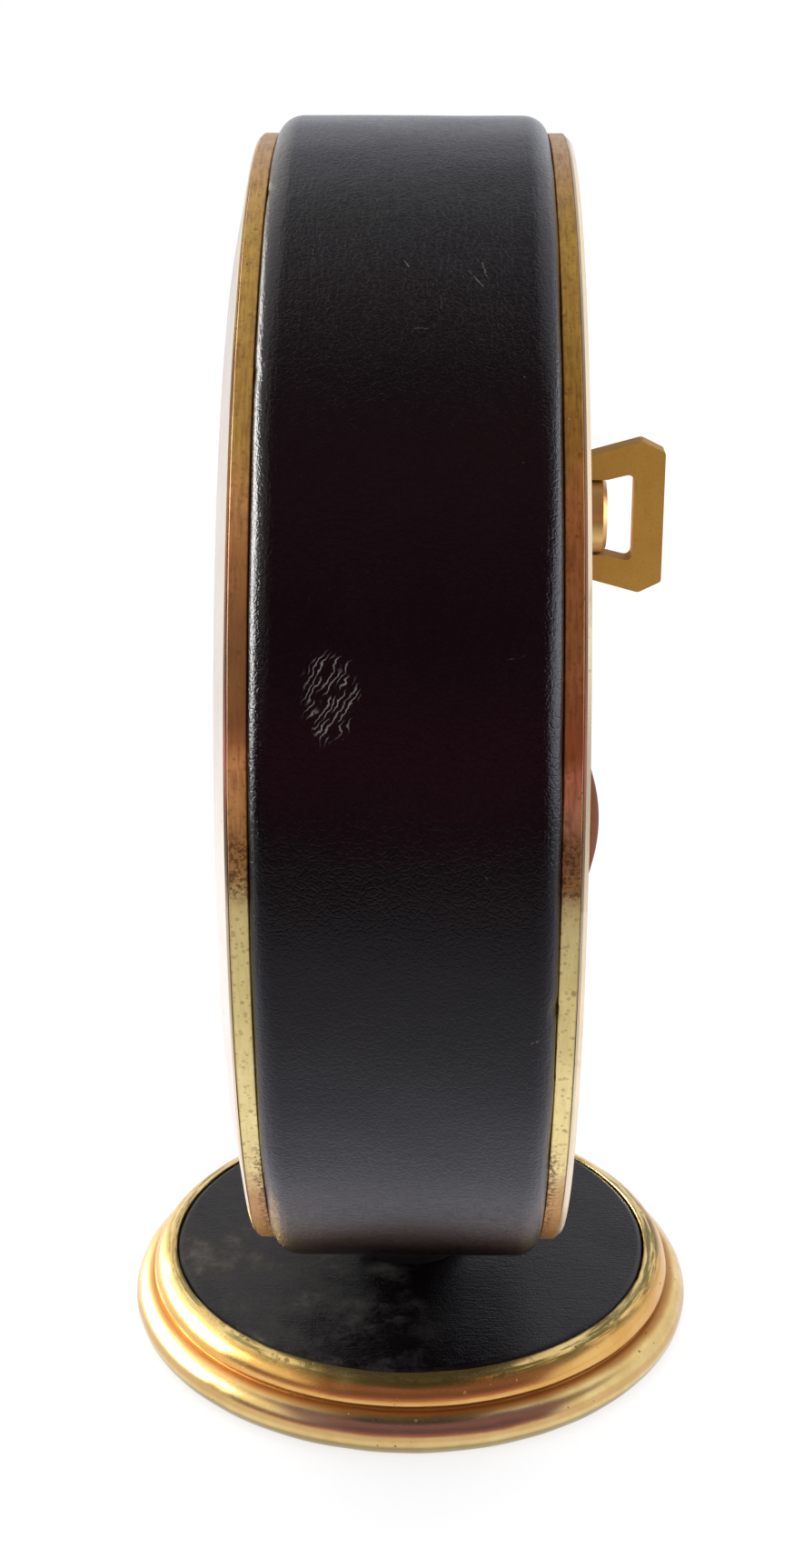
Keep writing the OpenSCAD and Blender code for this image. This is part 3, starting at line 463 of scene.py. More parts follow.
def wire_pits(graph: Graph, source: dict[str, Socket]) -> dict[str, Socket]:
    """Scatters small round pits, of which only some cells have one.

    Args:
        graph: The group's tree.
        source: Point, Spacing and Size in mm, and Share from 0 to 1.

    Returns:
        The Mask socket.
    """
    cell = graph.cells(source["Point"], graph.math("DIVIDE", 1.0, source["Spacing"]))
    pick, spread, _ = graph.parts(cell.outputs["Color"])
    reach = graph.math("DIVIDE", source["Size"], source["Spacing"])
    reach = graph.times(reach, graph.math("ADD", 0.35, spread))
    mask = graph.step(cell.outputs["Distance"], reach, graph.times(reach, 0.35))
    kept = graph.math("LESS_THAN", pick, source["Share"])
    return {"Mask": graph.times(mask, kept)}


def wire_lines(graph: Graph, source: dict[str, Socket]) -> dict[str, Socket]:
    """Makes the fine rings that a lathe leaves, the same all the way round.

    Args:
        graph: The group's tree.
        source: Across and Along in mm, and Pitch in mm.

    Returns:
        The Height socket.
    """
    scale = graph.math("DIVIDE", 1.0, source["Pitch"])
    fine = graph.noise(graph.vector(source["Across"], source["Along"]), scale, 3.0, 0.75)
    return {"Height": fine}


def wire_leather(graph: Graph, source: dict[str, Socket]) -> dict[str, Socket]:
    """Makes pressed pores, the soft creases between them, fibres along the hide and a slow swell.

    Args:
        graph: The group's tree.
        source: Point, Side and Way in mm, across and along the fibres, and Pore in mm.

    Returns:
        The Height, Crease and Swell sockets.
    """
    scale = graph.math("DIVIDE", 1.0, source["Pore"])
    bend = graph.add("ShaderNodeTexNoise")
    graph.feed(bend.inputs["Vector"], source["Point"])
    graph.feed(bend.inputs["Scale"], graph.times(scale, 0.4))
    move = graph.add("ShaderNodeVectorMath", operation="MULTIPLY_ADD")
    graph.feed(move.inputs[0], bend.outputs["Color"])
    graph.feed(move.inputs[1], (0.9, 0.9, 0.9))
    graph.feed(move.inputs[2], source["Point"])
    cell = graph.cells(move.outputs[0], scale, "DISTANCE_TO_EDGE")
    crease = graph.step(cell.outputs["Distance"], 0.16, 0.0)
    fine = graph.noise(source["Point"], graph.times(scale, 3.2), 3.0, 0.65)
    swell = graph.noise(source["Point"], graph.times(scale, 0.4), 2.0, 0.5)
    strand = graph.vector(graph.times(source["Side"], 3.4), graph.times(source["Way"], 0.42))
    fine = graph.math("ADD", fine, graph.noise(strand, 1.0, 2.0, 0.6))
    height = graph.math("SUBTRACT", fine, graph.times(crease, 0.3))
    return {"Height": height, "Crease": crease, "Swell": swell}


def leaning(graph: Graph, source: dict[str, Socket]) -> tuple[Socket, Socket, Socket, Socket]:
    """Measures a point of the leather from a mark's middle, straight and by the mark's lean.

    Args:
        graph: The group's tree.
        source: The group's inputs, of which Along, Arc, Middle Along, Middle Arc and Lean are read.

    Returns:
        The distances along the drum, round it, along the mark and off the mark.
    """
    east = graph.math("SUBTRACT", source["Along"], source["Middle Along"])
    north = graph.math("SUBTRACT", source["Arc"], source["Middle Arc"])
    lean = graph.times(source["Lean"], DEGREE)
    sine, cosine = graph.math("SINE", lean), graph.math("COSINE", lean)
    way = graph.math("ADD", graph.times(east, sine), graph.times(north, cosine))
    off = graph.math("SUBTRACT", graph.times(east, cosine), graph.times(north, sine))
    return east, north, way, off


def wire_scratch(graph: Graph, source: dict[str, Socket]) -> dict[str, Socket]:
    """Draws one thin, slightly wavering scratch.

    Args:
        graph: The group's tree.
        source: Along and Arc in mm, the middle's Middle Along and Middle Arc, Lean in degrees from the arc's
            direction, Length and Width in mm.

    Returns:
        The Mask socket.
    """
    _, _, way, off = leaning(graph, source)
    waver = graph.noise(graph.vector(source["Along"], source["Arc"]), 0.9, 3.0, 0.6)
    off = graph.math("ABSOLUTE", graph.math("ADD", off, graph.swing(waver, 0.55)))
    line = graph.step(off, source["Width"], graph.times(source["Width"], 0.25))
    half = graph.times(source["Length"], 0.5)
    ends = graph.step(graph.math("ABSOLUTE", way), half, graph.times(half, 0.55))
    worn = graph.step(graph.noise(graph.vector(source["Arc"], source["Along"]), 3.5, 2.0, 0.6), 0.36, 0.58)
    return {"Mask": graph.times(line, ends, worn)}


def wire_crackle(graph: Graph, source: dict[str, Socket]) -> dict[str, Socket]:
    """Draws an oval patch of fine, slanted, wavy lines where the finish has been rubbed through.

    Args:
        graph: The group's tree.
        source: Along and Arc in mm, Middle Along, Middle Arc, Wide, Tall, Lean in degrees and Pitch in mm.

    Returns:
        The Mask socket.
    """
    east, north, way, off = leaning(graph, source)
    plane = graph.vector(source["Along"], source["Arc"])
    bent = graph.swing(graph.noise(plane, 0.55, 3.0, 0.55), 1.7)
    off = graph.math("DIVIDE", graph.math("ADD", off, bent), source["Pitch"])
    thin = graph.step(graph.math("PINGPONG", off, 0.5), 0.18, 0.06)
    broken = graph.noise(graph.vector(off, graph.times(way, 0.55)), 0.9, 1.5, 0.5)
    line = graph.times(thin, graph.step(broken, 0.42, 0.54))
    side = graph.math("POWER", graph.math("DIVIDE", east, source["Wide"]), 2.0)
    rise = graph.math("POWER", graph.math("DIVIDE", north, source["Tall"]), 2.0)
    ragged = graph.swing(graph.noise(plane, 0.7, 2.0, 0.5), 0.3)
    patch = graph.step(graph.math("ADD", graph.math("ADD", side, rise), ragged), 0.29, 0.14)
    return {"Mask": graph.times(line, patch)}


def wire_dust(graph: Graph, source: dict[str, Socket]) -> dict[str, Socket]:
    """Lays patchy dust and a few specks on what faces up.

    Args:
        graph: The group's tree.
        source: Point, and Size in mm of the patches.

    Returns:
        The Haze and Specks sockets.
    """
    normal = graph.add("ShaderNodeNewGeometry").outputs["Normal"]
    _, _, up = graph.parts(normal)
    lying = graph.step(up, -0.1, 0.9)
    broad = graph.noise(source["Point"], graph.math("DIVIDE", 1.0, source["Size"]), 6.0, 0.72)
    haze = graph.times(graph.step(broad, 0.45, 0.72), lying)
    cell = graph.cells(source["Point"], 0.42)
    pick, _, _ = graph.parts(cell.outputs["Color"])
    speck = graph.step(cell.outputs["Distance"], 0.035, 0.015)
    speck = graph.times(speck, graph.math("LESS_THAN", pick, 0.22))
    return {"Haze": haze, "Specks": speck}


def wire_band(graph: Graph, source: dict[str, Socket]) -> dict[str, Socket]:
    """Marks a band between two measures, with soft ends.

    Args:
        graph: The group's tree.
        source: Measure, Low, High and Soft, in one unit.

    Returns:
        The Mask socket.
    """
    low = graph.step(source["Measure"], graph.math("SUBTRACT", source["Low"], source["Soft"]), source["Low"])
    high = graph.step(source["Measure"], graph.math("ADD", source["High"], source["Soft"]), source["High"])
    return {"Mask": graph.times(low, high)}


ORIGIN = (0.0, 0.0, 0.0)
TURNED = (("Point", ORIGIN), ("Across", 0.0), ("Along", 0.0), ("Angle", 0.0), ("Arc", 0.0))
MARKED = (("Along", 0.0), ("Arc", 0.0), ("Middle Along", 0.0), ("Middle Arc", 0.0))
MASK = (("Mask", 0.0),)
POSITION = {axis: Effect(f"{axis.value} Position", (), TURNED, wire_turned(axis)) for axis in Axis}
MOTTLE = Effect(
    "Mottle",
    (("Point", ORIGIN), ("Size", 6.0), ("Contrast", 2.0)),
    (("Cloud", 0.0), ("Grain", 0.0)),
    wire_mottle,
)
PITS = Effect(
    "Pits",
    (("Point", ORIGIN), ("Spacing", 1.0), ("Size", 0.2), ("Share", 0.3)),
    MASK,
    wire_pits,
)
LINES = Effect(
    "Turned Lines",
    (("Across", 0.0), ("Along", 0.0), ("Pitch", 0.2)),
    (("Height", 0.0),),
    wire_lines,
)
LEATHER = Effect(
    "Leather Grain",
    (("Point", ORIGIN), ("Side", 0.0), ("Way", 0.0), ("Pore", 0.5)),
    (("Height", 0.0), ("Crease", 0.0), ("Swell", 0.0)),
    wire_leather,
)
SCRATCH = Effect(
    "Scratch",
    (*MARKED, ("Lean", 0.0), ("Length", 2.0), ("Width", 0.08)),
    MASK,
    wire_scratch,
)
CRACKLE = Effect(
    "Crackle",
    (*MARKED, ("Wide", 4.0), ("Tall", 6.0), ("Lean", 20.0), ("Pitch", 0.45)),
    MASK,
    wire_crackle,
)
DUST = Effect(
    "Dust",
    (("Point", ORIGIN), ("Size", 9.0)),
    (("Haze", 0.0), ("Specks", 0.0)),
    wire_dust,
)
BAND = Effect(
    "Band",
    (("Measure", 0.0), ("Low", 0.0), ("High", 1.0), ("Soft", 0.1)),
    MASK,
    wire_band,
)


class Surface:
    """A material with one Principled shader, fed by the names of its sockets."""

    def __init__(self, name: str, axis: Axis = Axis.DRUM) -> None:
        """Makes the empty material.

        Args:
            name: The material's name.
            axis: The line that its positions are measured about.
        """
        self.material = bpy.data.materials.new(name)
        self.material.use_nodes = True
        self.material.node_tree.nodes.clear()
        self.graph = Graph(self.material.node_tree)
        self.shader = self.graph.add("ShaderNodeBsdfPrincipled")
        output = self.graph.add("ShaderNodeOutputMaterial")
        self.graph.feed(output.inputs["Surface"], self.shader.outputs[0])
        self.at = self.graph.place(POSITION[axis]).outputs

    def feed(self, **values: Value) -> None:
        """Feeds the shader's sockets, named with underscores for spaces."""
        for key, value in values.items():
            self.graph.feed(self.shader.inputs[key.replace("_", " ").title().replace("Ior", "IOR")], value)

    def bump(self, *layers: tuple[Socket, float]) -> None:
        """Chains bump layers into the shader's normal.

        Args:
            layers: Pairs of a height socket and its depth in mm.
        """
        last: Optional[Socket] = None
        for height, depth in layers:
            node = self.graph.add("ShaderNodeBump")
            node.inputs["Strength"].default_value = 1.0
            node.inputs["Distance"].default_value = depth * MM
            self.graph.feed(node.inputs["Height"], height)
            if last is not None:
                self.graph.feed(node.inputs["Normal"], last)
            last = node.outputs[0]
        if last is not None:
            self.graph.feed(self.shader.inputs["Normal"], last)


# ---------------------------------------------------------------- finishes


class Finish(Protocol):
    """Anything that makes one material."""

    def material(self) -> bpy.types.Material:
        """Builds the material."""


@dataclass(frozen=True)
class Mark:
    """A scratch in the leather: its middle along the axis and round the arc, lean, length and width in mm."""

    along: float
    arc: float
    lean: float
    length: float
    width: float
    strength: float


@dataclass(frozen=True)
class Scuff:
    """A rubbed, crackled patch in the leather, in mm and degrees."""

    along: float
    arc: float
    wide: float
    tall: float
    lean: float
    pitch: float


@dataclass(frozen=True)
class LeatherFinish:
    """Polished near-black leather with fine grain, dust, scratches and a rubbed patch."""

    name: str
    axis: Axis
    roughness: float = 0.14
    haze: float = 0.0
    marks: tuple[Mark, ...] = ()
    scuffs: tuple[Scuff, ...] = ()
    dye: Colour = (0.0026, 0.0011, 0.0019)
    dye_light: Colour = (0.0042, 0.0016, 0.0024)
    crease: Colour = (0.001, 0.0006, 0.0009)
    worn: Colour = (0.2, 0.175, 0.16)
    dust: Colour = (0.16, 0.15, 0.13)
    dust_span: Span = (6.0, -9.0)
    speck: Colour = (0.3, 0.28, 0.26)

    def wear(self, surface: Surface) -> Optional[Socket]:
        """Draws the scratches and the rubbed patches.

        Args:
            surface: The material while it is made.

        Returns:
            Their joined mask, or None where there are none.
        """
        graph, at = surface.graph, surface.at
        masks = []
        for mark in self.marks:
            scratch = graph.mask(
                SCRATCH, along=at["Along"], arc=at["Arc"], middle_along=mark.along, middle_arc=mark.arc,
                lean=mark.lean, length=mark.length, width=mark.width,
            )
            masks.append(graph.times(scratch, mark.strength))
        for scuff in self.scuffs:
            masks.append(graph.mask(
                CRACKLE, along=at["Along"], arc=at["Arc"], middle_along=scuff.along, middle_arc=scuff.arc,
                wide=scuff.wide, tall=scuff.tall, lean=scuff.lean, pitch=scuff.pitch,
            ))
        return graph.join(*masks) if masks else None

    def material(self) -> bpy.types.Material:
        """Builds the leather.

        Returns:
            The material.
        """
        surface = Surface(self.name, self.axis)
        graph, at = surface.graph, surface.at
        east, north, _ = graph.parts(at["Point"])
        side, way = (at["Along"], at["Arc"]) if self.axis is Axis.DRUM else (east, north)
        grain = graph.place(LEATHER, point=at["Point"], side=side, way=way, pore=0.6).outputs
        cloud = graph.place(MOTTLE, point=at["Point"], size=11.0, contrast=2.2).outputs
        dust = graph.place(DUST, point=at["Point"], size=8.0).outputs
        colour = graph.mix(cloud["Cloud"], self.dye, self.dye_light)
        colour = graph.lay(colour, grain["Crease"], 0.5, self.crease)
        rough = graph.more(self.roughness - 0.05, cloud["Grain"], 0.12)
        haze = graph.times(dust["Haze"], self.haze, graph.step(north, *self.dust_span))
        colour = graph.mix(haze, colour, self.dust)
        rough = graph.more(rough, haze, 1.5, clamp=True)
        layers = [(grain["Height"], 0.034), (grain["Swell"], 0.02)]
        wear = self.wear(surface)
        if wear is not None:
            colour = graph.lay(colour, wear, 0.8, self.worn)
            rough = graph.more(rough, wear, 0.3, clamp=True)
            layers.append((wear, 0.03))
        colour = graph.lay(colour, dust["Specks"], 0.35, self.speck)
        surface.feed(base_color=colour, roughness=rough, metallic=0.0, ior=1.385)
        surface.bump(*layers)
        return surface.material


@dataclass(frozen=True)
class BrassFinish:
    """Turned brass with clouds of tarnish, pits and fine turning rings."""

    name: str
    axis: Axis = Axis.DRUM
    tint: Colour = (0.86, 0.66, 0.32)
    tarnish: Colour = (0.5, 0.25, 0.08)
    metallic: float = 0.9
    roughness: float = 0.26
    tarnish_share: float = 0.4
    blotch: float = 0.16
    pit_share: float = 0.25
    lines: float = 0.004
    pitch: float = 0.16
    edge_tint: Colour = (1.0, 1.0, 1.0)
    pit_tint: Colour = (0.1, 0.05, 0.02)

    def tint_socket(self, surface: Surface) -> Value:
        """Gives the clean metal's colour, which may change round the piece."""
        return self.tint

    def material(self) -> bpy.types.Material:
        """Builds the brass.

        Returns:
            The material.
        """
        surface = Surface(self.name, self.axis)
        graph, at = surface.graph, surface.at
        cloud = graph.place(MOTTLE, point=at["Point"], size=7.0, contrast=2.6).outputs
        small = graph.place(MOTTLE, point=at["Point"], size=1.6, contrast=2.0).outputs
        pits = graph.mask(PITS, point=at["Point"], spacing=0.95, size=0.16, share=self.pit_share)
        lines = graph.place(LINES, across=at["Across"], along=at["Along"], pitch=self.pitch).outputs["Height"]
        colour = self.tint_socket(surface)
        stain = graph.times(cloud["Cloud"], self.tarnish_share)
        colour = graph.mix(stain, colour, self.tarnish)
        colour = graph.lay(colour, small["Cloud"], self.blotch, self.tarnish)
        colour = graph.lay(colour, pits, 0.8, self.pit_tint)
        colour, dull = self.weather(surface, colour)
        rough = graph.more(self.roughness - 0.08, small["Grain"], 0.16)
        rough = graph.more(rough, stain, 0.12)
        rough = graph.more(rough, pits, 0.3)
        if dull is not None:
            rough = graph.more(rough, dull, 0.25)
        metal = graph.math("SUBTRACT", self.metallic, graph.times(pits, 0.4))
        surface.feed(base_color=colour, roughness=rough, metallic=metal, specular_tint=self.edge_tint)
        hollow = graph.math("SUBTRACT", 1.0, pits)
        surface.bump((lines, self.lines), (small["Grain"], 0.006), (hollow, 0.03))
        return surface.material

    def weather(self, surface: Surface, colour: Value) -> tuple[Value, Optional[Socket]]:
        """Adds what only one piece shows.

        Args:
            surface: The material while it is made.
            colour: The colour so far.

        Returns:
            The new colour, and a mask of dull places or None.
        """
        return colour, None


# Colours round the rings by angle: tarnish with painted reflection of the room and floor. The front ring's
# darker zones are painted reflection of the dimmer room on its side.
REAR_TARNISH_AND_REFLECTION: Bands = (
    (0.0, (0.78, 0.52, 0.18)), (0.395, (0.66, 0.34, 0.08)), (0.41, (0.96, 0.79, 0.37)),
    (0.44, (0.98, 0.84, 0.42)), (0.503, (0.97, 0.80, 0.36)), (0.508, (0.54, 0.30, 0.12)),
    (0.518, (0.52, 0.28, 0.12)), (0.523, (0.96, 0.58, 0.30)), (0.535, (0.92, 0.52, 0.25)),
    (0.539, (0.46, 0.21, 0.08)), (0.551, (0.54, 0.26, 0.09)), (0.556, (0.80, 0.38, 0.13)),
    (0.600, (0.82, 0.42, 0.12)), (0.611, (0.78, 0.50, 0.09)), (0.68, (0.76, 0.47, 0.08)),
    (0.72, (0.76, 0.46, 0.17)), (1.0, (0.78, 0.52, 0.18)),
)
FRONT_TARNISH_AND_REFLECTION: Bands = (
    (0.0, (0.78, 0.52, 0.18)), (0.395, (0.66, 0.34, 0.08)), (0.41, (0.96, 0.76, 0.33)),
    (0.44, (1.0, 0.84, 0.40)), (0.503, (0.98, 0.82, 0.36)), (0.508, (0.62, 0.36, 0.12)),
    (0.517, (0.66, 0.36, 0.12)), (0.522, (0.98, 0.56, 0.20)), (0.536, (0.92, 0.51, 0.17)),
    (0.540, (0.32, 0.14, 0.05)), (0.551, (0.34, 0.16, 0.05)), (0.568, (0.30, 0.13, 0.05)),
    (0.582, (0.62, 0.30, 0.10)), (0.598, (0.92, 0.50, 0.18)), (0.612, (0.80, 0.52, 0.12)),
    (0.68, (0.76, 0.48, 0.10)), (0.72, (0.76, 0.46, 0.17)), (1.0, (0.78, 0.52, 0.18)),
)


@dataclass(frozen=True)
class RimBrass(BrassFinish):
    """A ring beside the leather, whose colour changes from yellow to copper to pale gold downwards: tarnish,
    with painted reflection of the room and floor.

    Angles are degrees above the side that the photograph shows, and depths are mm from the drum's middle.
    Bands go once round, from 0 at -180 degrees to 1 at 180.
    """

    # Tarnish and painted reflection by angle.
    tarnish_and_reflection: Bands = REAR_TARNISH_AND_REFLECTION
    grime: Colour = (0.2, 0.08, 0.04)
    grime_depths: Span = (12.36, 12.22)
    # Painted reflection of the bright floor, pale gold, low on the ring.
    pale_gold_reflection: Colour = (1.0, 0.83, 0.34)
    pale_reflection_angles: Span = (-31.0, -1.0)
    pore: Colour = (0.3, 0.15, 0.04)
    freckle: Colour = (0.2, 0.09, 0.03)
    streak: Colour = (0.24, 0.11, 0.035)
    # Painted dark reflection in a band above the pale one, and painted shade on the lower ends.
    painted_dark: Colour = (0.11, 0.045, 0.012)
    dark_reflection_angles: Span = (2.0, 6.0)
    shaded_end_angles: Span = (-75.0, -30.0)
    lip: Colour = (0.12, 0.05, 0.02)
    lip_depths: Span = (13.74, 13.86)

    def tint_socket(self, surface: Surface) -> Value:
        """Gives the ring's colour by its angle, as tarnish with painted reflection.

        Args:
            surface: The material while it is made.

        Returns:
            The colour's socket.
        """
        graph = surface.graph
        waver = graph.noise(surface.at["Point"], 0.12, 3.0, 0.6)
        angle = graph.math("ADD", surface.at["Angle"], graph.swing(waver, 4.0))
        # Tarnish and painted reflection, read off the ring's angle.
        return graph.ramp(graph.math("DIVIDE", graph.math("ADD", angle, 180.0), 360.0), self.tarnish_and_reflection)

    def weather(self, surface: Surface, colour: Value) -> tuple[Value, Optional[Socket]]:
        """Adds the grime along the leather, the freckles, the streaks, a painted pale gold reflection of the
        floor low on the ring, a blotched painted dark reflection just above it and painted shade on the ring's
        lower ends.

        Args:
            surface: The material while it is made.
            colour: The colour so far.

        Returns:
            The new colour and a mask of the grime, the lip and the painted dark places.
        """
        graph, at = surface.graph, surface.at
        depth = graph.math("ABSOLUTE", at["Along"])
        ragged = graph.times(graph.noise(at["Point"], 1.3, 3.0, 0.7), 0.3)
        edge = graph.step(graph.math("SUBTRACT", depth, ragged), *self.grime_depths)
        colour = graph.lay(colour, edge, 0.75, self.grime)
        # Painted reflection of the floor in pale gold.
        colour = graph.lay(colour, graph.band(at["Angle"], self.pale_reflection_angles, 2.0), 0.65, self.pale_gold_reflection)
        pores = graph.mask(PITS, point=at["Point"], spacing=0.4, size=0.2, share=0.5)
        colour = graph.lay(colour, pores, 0.4, self.pore)
        freckles = graph.mask(PITS, point=at["Point"], spacing=0.85, size=0.26, share=0.4)
        colour = graph.lay(colour, freckles, 0.5, self.freckle)
        strip = graph.vector(graph.times(at["Along"], 3.2), graph.times(at["Arc"], 0.3))
        strip = graph.step(graph.noise(strip, 1.0, 4.0, 0.7), 0.42, 0.66)
        upper = graph.step(at["Angle"], 0.0, 8.0)
        strip = graph.times(strip, graph.math("ADD", graph.times(upper, 0.36), 0.12))
        colour = graph.mix(strip, colour, self.streak)
        # Painted shade on the lower ends, strongest beside the leather.
        inner = graph.math("ADD", graph.times(graph.step(depth, 13.3, 12.7), 0.8), 0.2)
        end = graph.times(graph.band(at["Angle"], self.shaded_end_angles, 4.0), inner)
        blot = graph.step(graph.noise(at["Point"], 2.6, 4.0, 0.75), 0.46, 0.56)
        # Painted dark reflection in a narrow band, joined with the painted shade on the ends, both blotched.
        painted_dark = graph.join(graph.band(at["Angle"], self.dark_reflection_angles, 1.5), end)
        painted_dark = graph.times(painted_dark, blot, 0.8)
        colour = graph.mix(painted_dark, colour, self.painted_dark)
        lip = graph.step(depth, *self.lip_depths)
        colour = graph.lay(colour, lip, 0.7, self.lip)
        return colour, graph.join(edge, lip, painted_dark)


@dataclass(frozen=True)
class FootBrass(BrassFinish):
    """The foot's beaded rim, brown in its groove and streaked with green near the leather, with painted
    reflection on its beads and painted shade along its bottom.

    Heights and radii are mm, and angles are degrees from the side that the photograph shows.
    """

    axis: Axis = Axis.FOOT
    groove: Colour = (0.45, 0.19, 0.04)
    groove_heights: Span = (4.35, 4.8)
    green: Colour = (0.13, 0.11, 0.025)
    green_radii: Span = (25.0, 26.5)
    # Painted reflection: the upper bead's outer side in deep orange.
    belly_reflection: Colour = (0.66, 0.3, 0.04)
    belly_reflection_radii: Span = (26.6, 27.8)
    # Painted reflection of the room, greyish rose, on the front of the lower bead.
    pink_reflection: Colour = (0.55, 0.4, 0.33)
    pink_reflection_heights: Span = (3.2, 3.9)
    brown: Colour = (0.5, 0.24, 0.06)
    brown_heights: Span = (2.5, 2.9)
    dull: Colour = (0.42, 0.3, 0.11)
    dull_heights: Span = (4.4, 3.6)
    # Painted shade: dark along the bottom edge, where the foot meets the floor.
    base: Colour = (0.14, 0.13, 0.04)
    bottom_shade_heights: Span = (1.95, 1.5)

    def weather(self, surface: Surface, colour: Value) -> tuple[Value, Optional[Socket]]:
        """Adds the groove's brown, the green streaks, a painted orange reflection on the upper bead, a painted
        reflection of the room on the front of the lower bead and painted shade along the bottom.

        Args:
            surface: The material while it is made.
            colour: The colour so far.

        Returns:
            The new colour and a mask of dull places.
        """
        graph, at = surface.graph, surface.at
        groove = graph.band(at["Along"], self.groove_heights, 0.35)
        groove = graph.times(groove, graph.step(at["Across"], 26.2, 27.0))
        streak = graph.vector(graph.times(at["Angle"], 0.05), graph.times(at["Across"], 1.6), at["Along"])
        streaks = graph.step(graph.noise(streak, 1.0, 4.0, 0.7), 0.42, 0.56)
        spotted = graph.step(graph.noise(at["Point"], 0.55, 5.0, 0.75), 0.47, 0.6)
        ahead = graph.step(graph.math("ABSOLUTE", graph.math("ADD", at["Angle"], 12.0)), 50.0, 30.0)
        rim = graph.join(streaks, graph.times(spotted, ahead))
        rim = graph.times(rim, graph.band(at["Across"], self.green_radii, 0.7), 0.85)
        # Painted reflection, deep orange, on the upper bead's outer side.
        belly_reflection = graph.band(at["Across"], self.belly_reflection_radii, 0.5)
        belly_reflection = graph.times(belly_reflection, graph.step(at["Along"], 4.6, 5.2))
        colour = graph.lay(colour, belly_reflection, 0.6, self.belly_reflection)
        # Painted reflection on the lower bead, on the front only.
        front = graph.step(graph.math("ABSOLUTE", graph.math("SUBTRACT", at["Angle"], 2.0)), 34.0, 20.0)
        lower = graph.times(graph.band(at["Along"], self.pink_reflection_heights, 0.5), front)
        colour = graph.lay(colour, lower, 0.7, self.pink_reflection)
        colour = graph.lay(colour, graph.band(at["Along"], self.brown_heights, 0.4), 0.45, self.brown)
        colour = graph.lay(colour, graph.step(at["Along"], *self.dull_heights), 0.28, self.dull)
        colour = graph.lay(colour, groove, 0.8, self.groove)
        colour = graph.mix(rim, colour, self.green)
        # Painted shade along the bottom edge.
        colour = graph.lay(colour, graph.step(at["Along"], *self.bottom_shade_heights), 0.6, self.base)
        return colour, graph.join(groove, rim)


@dataclass(frozen=True)
class KeyBrass(BrassFinish):
    """The key, satin where fingers hold it, with painted light in orange on the inner faces of its hole and
    painted shade on its upper and lower edges.
    """

    speck: Colour = (0.4, 0.2, 0.04)
    # Painted light on the inner faces of the hole.
    orange: Colour = (0.95, 0.5, 0.07)
    # Painted shade on the upper and lower edges.
    dark: Colour = (0.25, 0.16, 0.05)

    def weather(self, surface: Surface, colour: Value) -> tuple[Value, Optional[Socket]]:
        """Paints light and shade on the narrow faces by the way they face.

        Args:
            surface: The material while it is made.
            colour: The colour so far.

        Returns:
            The new colour and a mask of dull places.
        """
        graph = surface.graph
        _, north, up = graph.parts(graph.add("ShaderNodeTexCoord").outputs["Normal"])
        # Painted light: inner faces that face -y are marked for orange.
        inside = graph.step(north, -0.35, -0.75)
        # Painted shade: faces that face up or down are marked to be darkened.
        edge = graph.step(graph.math("ABSOLUTE", up), 0.2, 0.6)
        speck = graph.step(graph.noise(surface.at["Point"], 3.2, 3.0, 0.7), 0.5, 0.68)
        colour = graph.lay(colour, speck, 0.3, self.speck)
        colour = graph.lay(colour, inside, 0.8, self.orange)
        colour = graph.lay(colour, edge, 0.55, self.dark)
        return colour, edge


@dataclass(frozen=True)
class CoverBrass(BrassFinish):
    """The back cover, with hand marks and the curved scratches that turning the key leaves."""

    key_rise: float = 18.0
    smear: Colour = (0.62, 0.42, 0.2)
    worn: Colour = (0.93, 0.8, 0.5)
    worn_radii: Span = (3.2, 8.2)
    # Painted highlight along the cover's rim.
    edge: Colour = (0.95, 0.84, 0.62)
    rim_highlight_radii: Span = (52.5, 52.8)

    def weather(self, surface: Surface, colour: Value) -> tuple[Value, Optional[Socket]]:
        """Adds rings worn round the key, smears and a painted highlight along the edge.

        Args:
            surface: The material while it is made.
            colour: The colour so far.

        Returns:
            The new colour and a mask of dull places.
        """
        graph, at = surface.graph, surface.at
        east, _, up = graph.parts(at["Point"])
        far = graph.hypot(east, graph.math("SUBTRACT", up, DRUM_HEIGHT + self.key_rise))
        rings = graph.step(graph.noise(graph.vector(far, 0.0), 3.2, 4.0, 0.8), 0.55, 0.68)
        worn = graph.times(rings, graph.band(far, self.worn_radii, 1.2), 0.7)
        smear = graph.step(graph.noise(at["Point"], 0.11, 5.0, 0.7), 0.52, 0.7)
        colour = graph.lay(colour, smear, 0.3, self.smear)
        colour = graph.mix(worn, colour, self.worn)
        # Painted highlight along the rim.
        edge = graph.step(at["Across"], *self.rim_highlight_radii)
        colour = graph.lay(colour, edge, 0.7, self.edge)
        return colour, smear


@dataclass(frozen=True)
class MovementBrass(BrassFinish):
    """Brass of the movement's plates and wheels, with overlapping polished spots."""

    spots: float = 1.6
    polish: Colour = (0.95, 0.82, 0.5)

    def weather(self, surface: Surface, colour: Value) -> tuple[Value, Optional[Socket]]:
        """Adds the polished spots.

        Args:
            surface: The material while it is made.
            colour: The colour so far.

        Returns:
            The new colour and the spots' mask.
        """
        graph, at = surface.graph, surface.at
        east, _, up = graph.parts(at["Point"])
        cell = graph.cells(graph.vector(east, up), 1.0 / self.spots)
        cell.inputs["Randomness"].default_value = 0.12
        ring = graph.math("SINE", graph.times(cell.outputs["Distance"], 40.0))
        shade = graph.step(ring, -0.6, 0.9)
        return graph.lay(colour, shade, 0.2, self.polish), shade


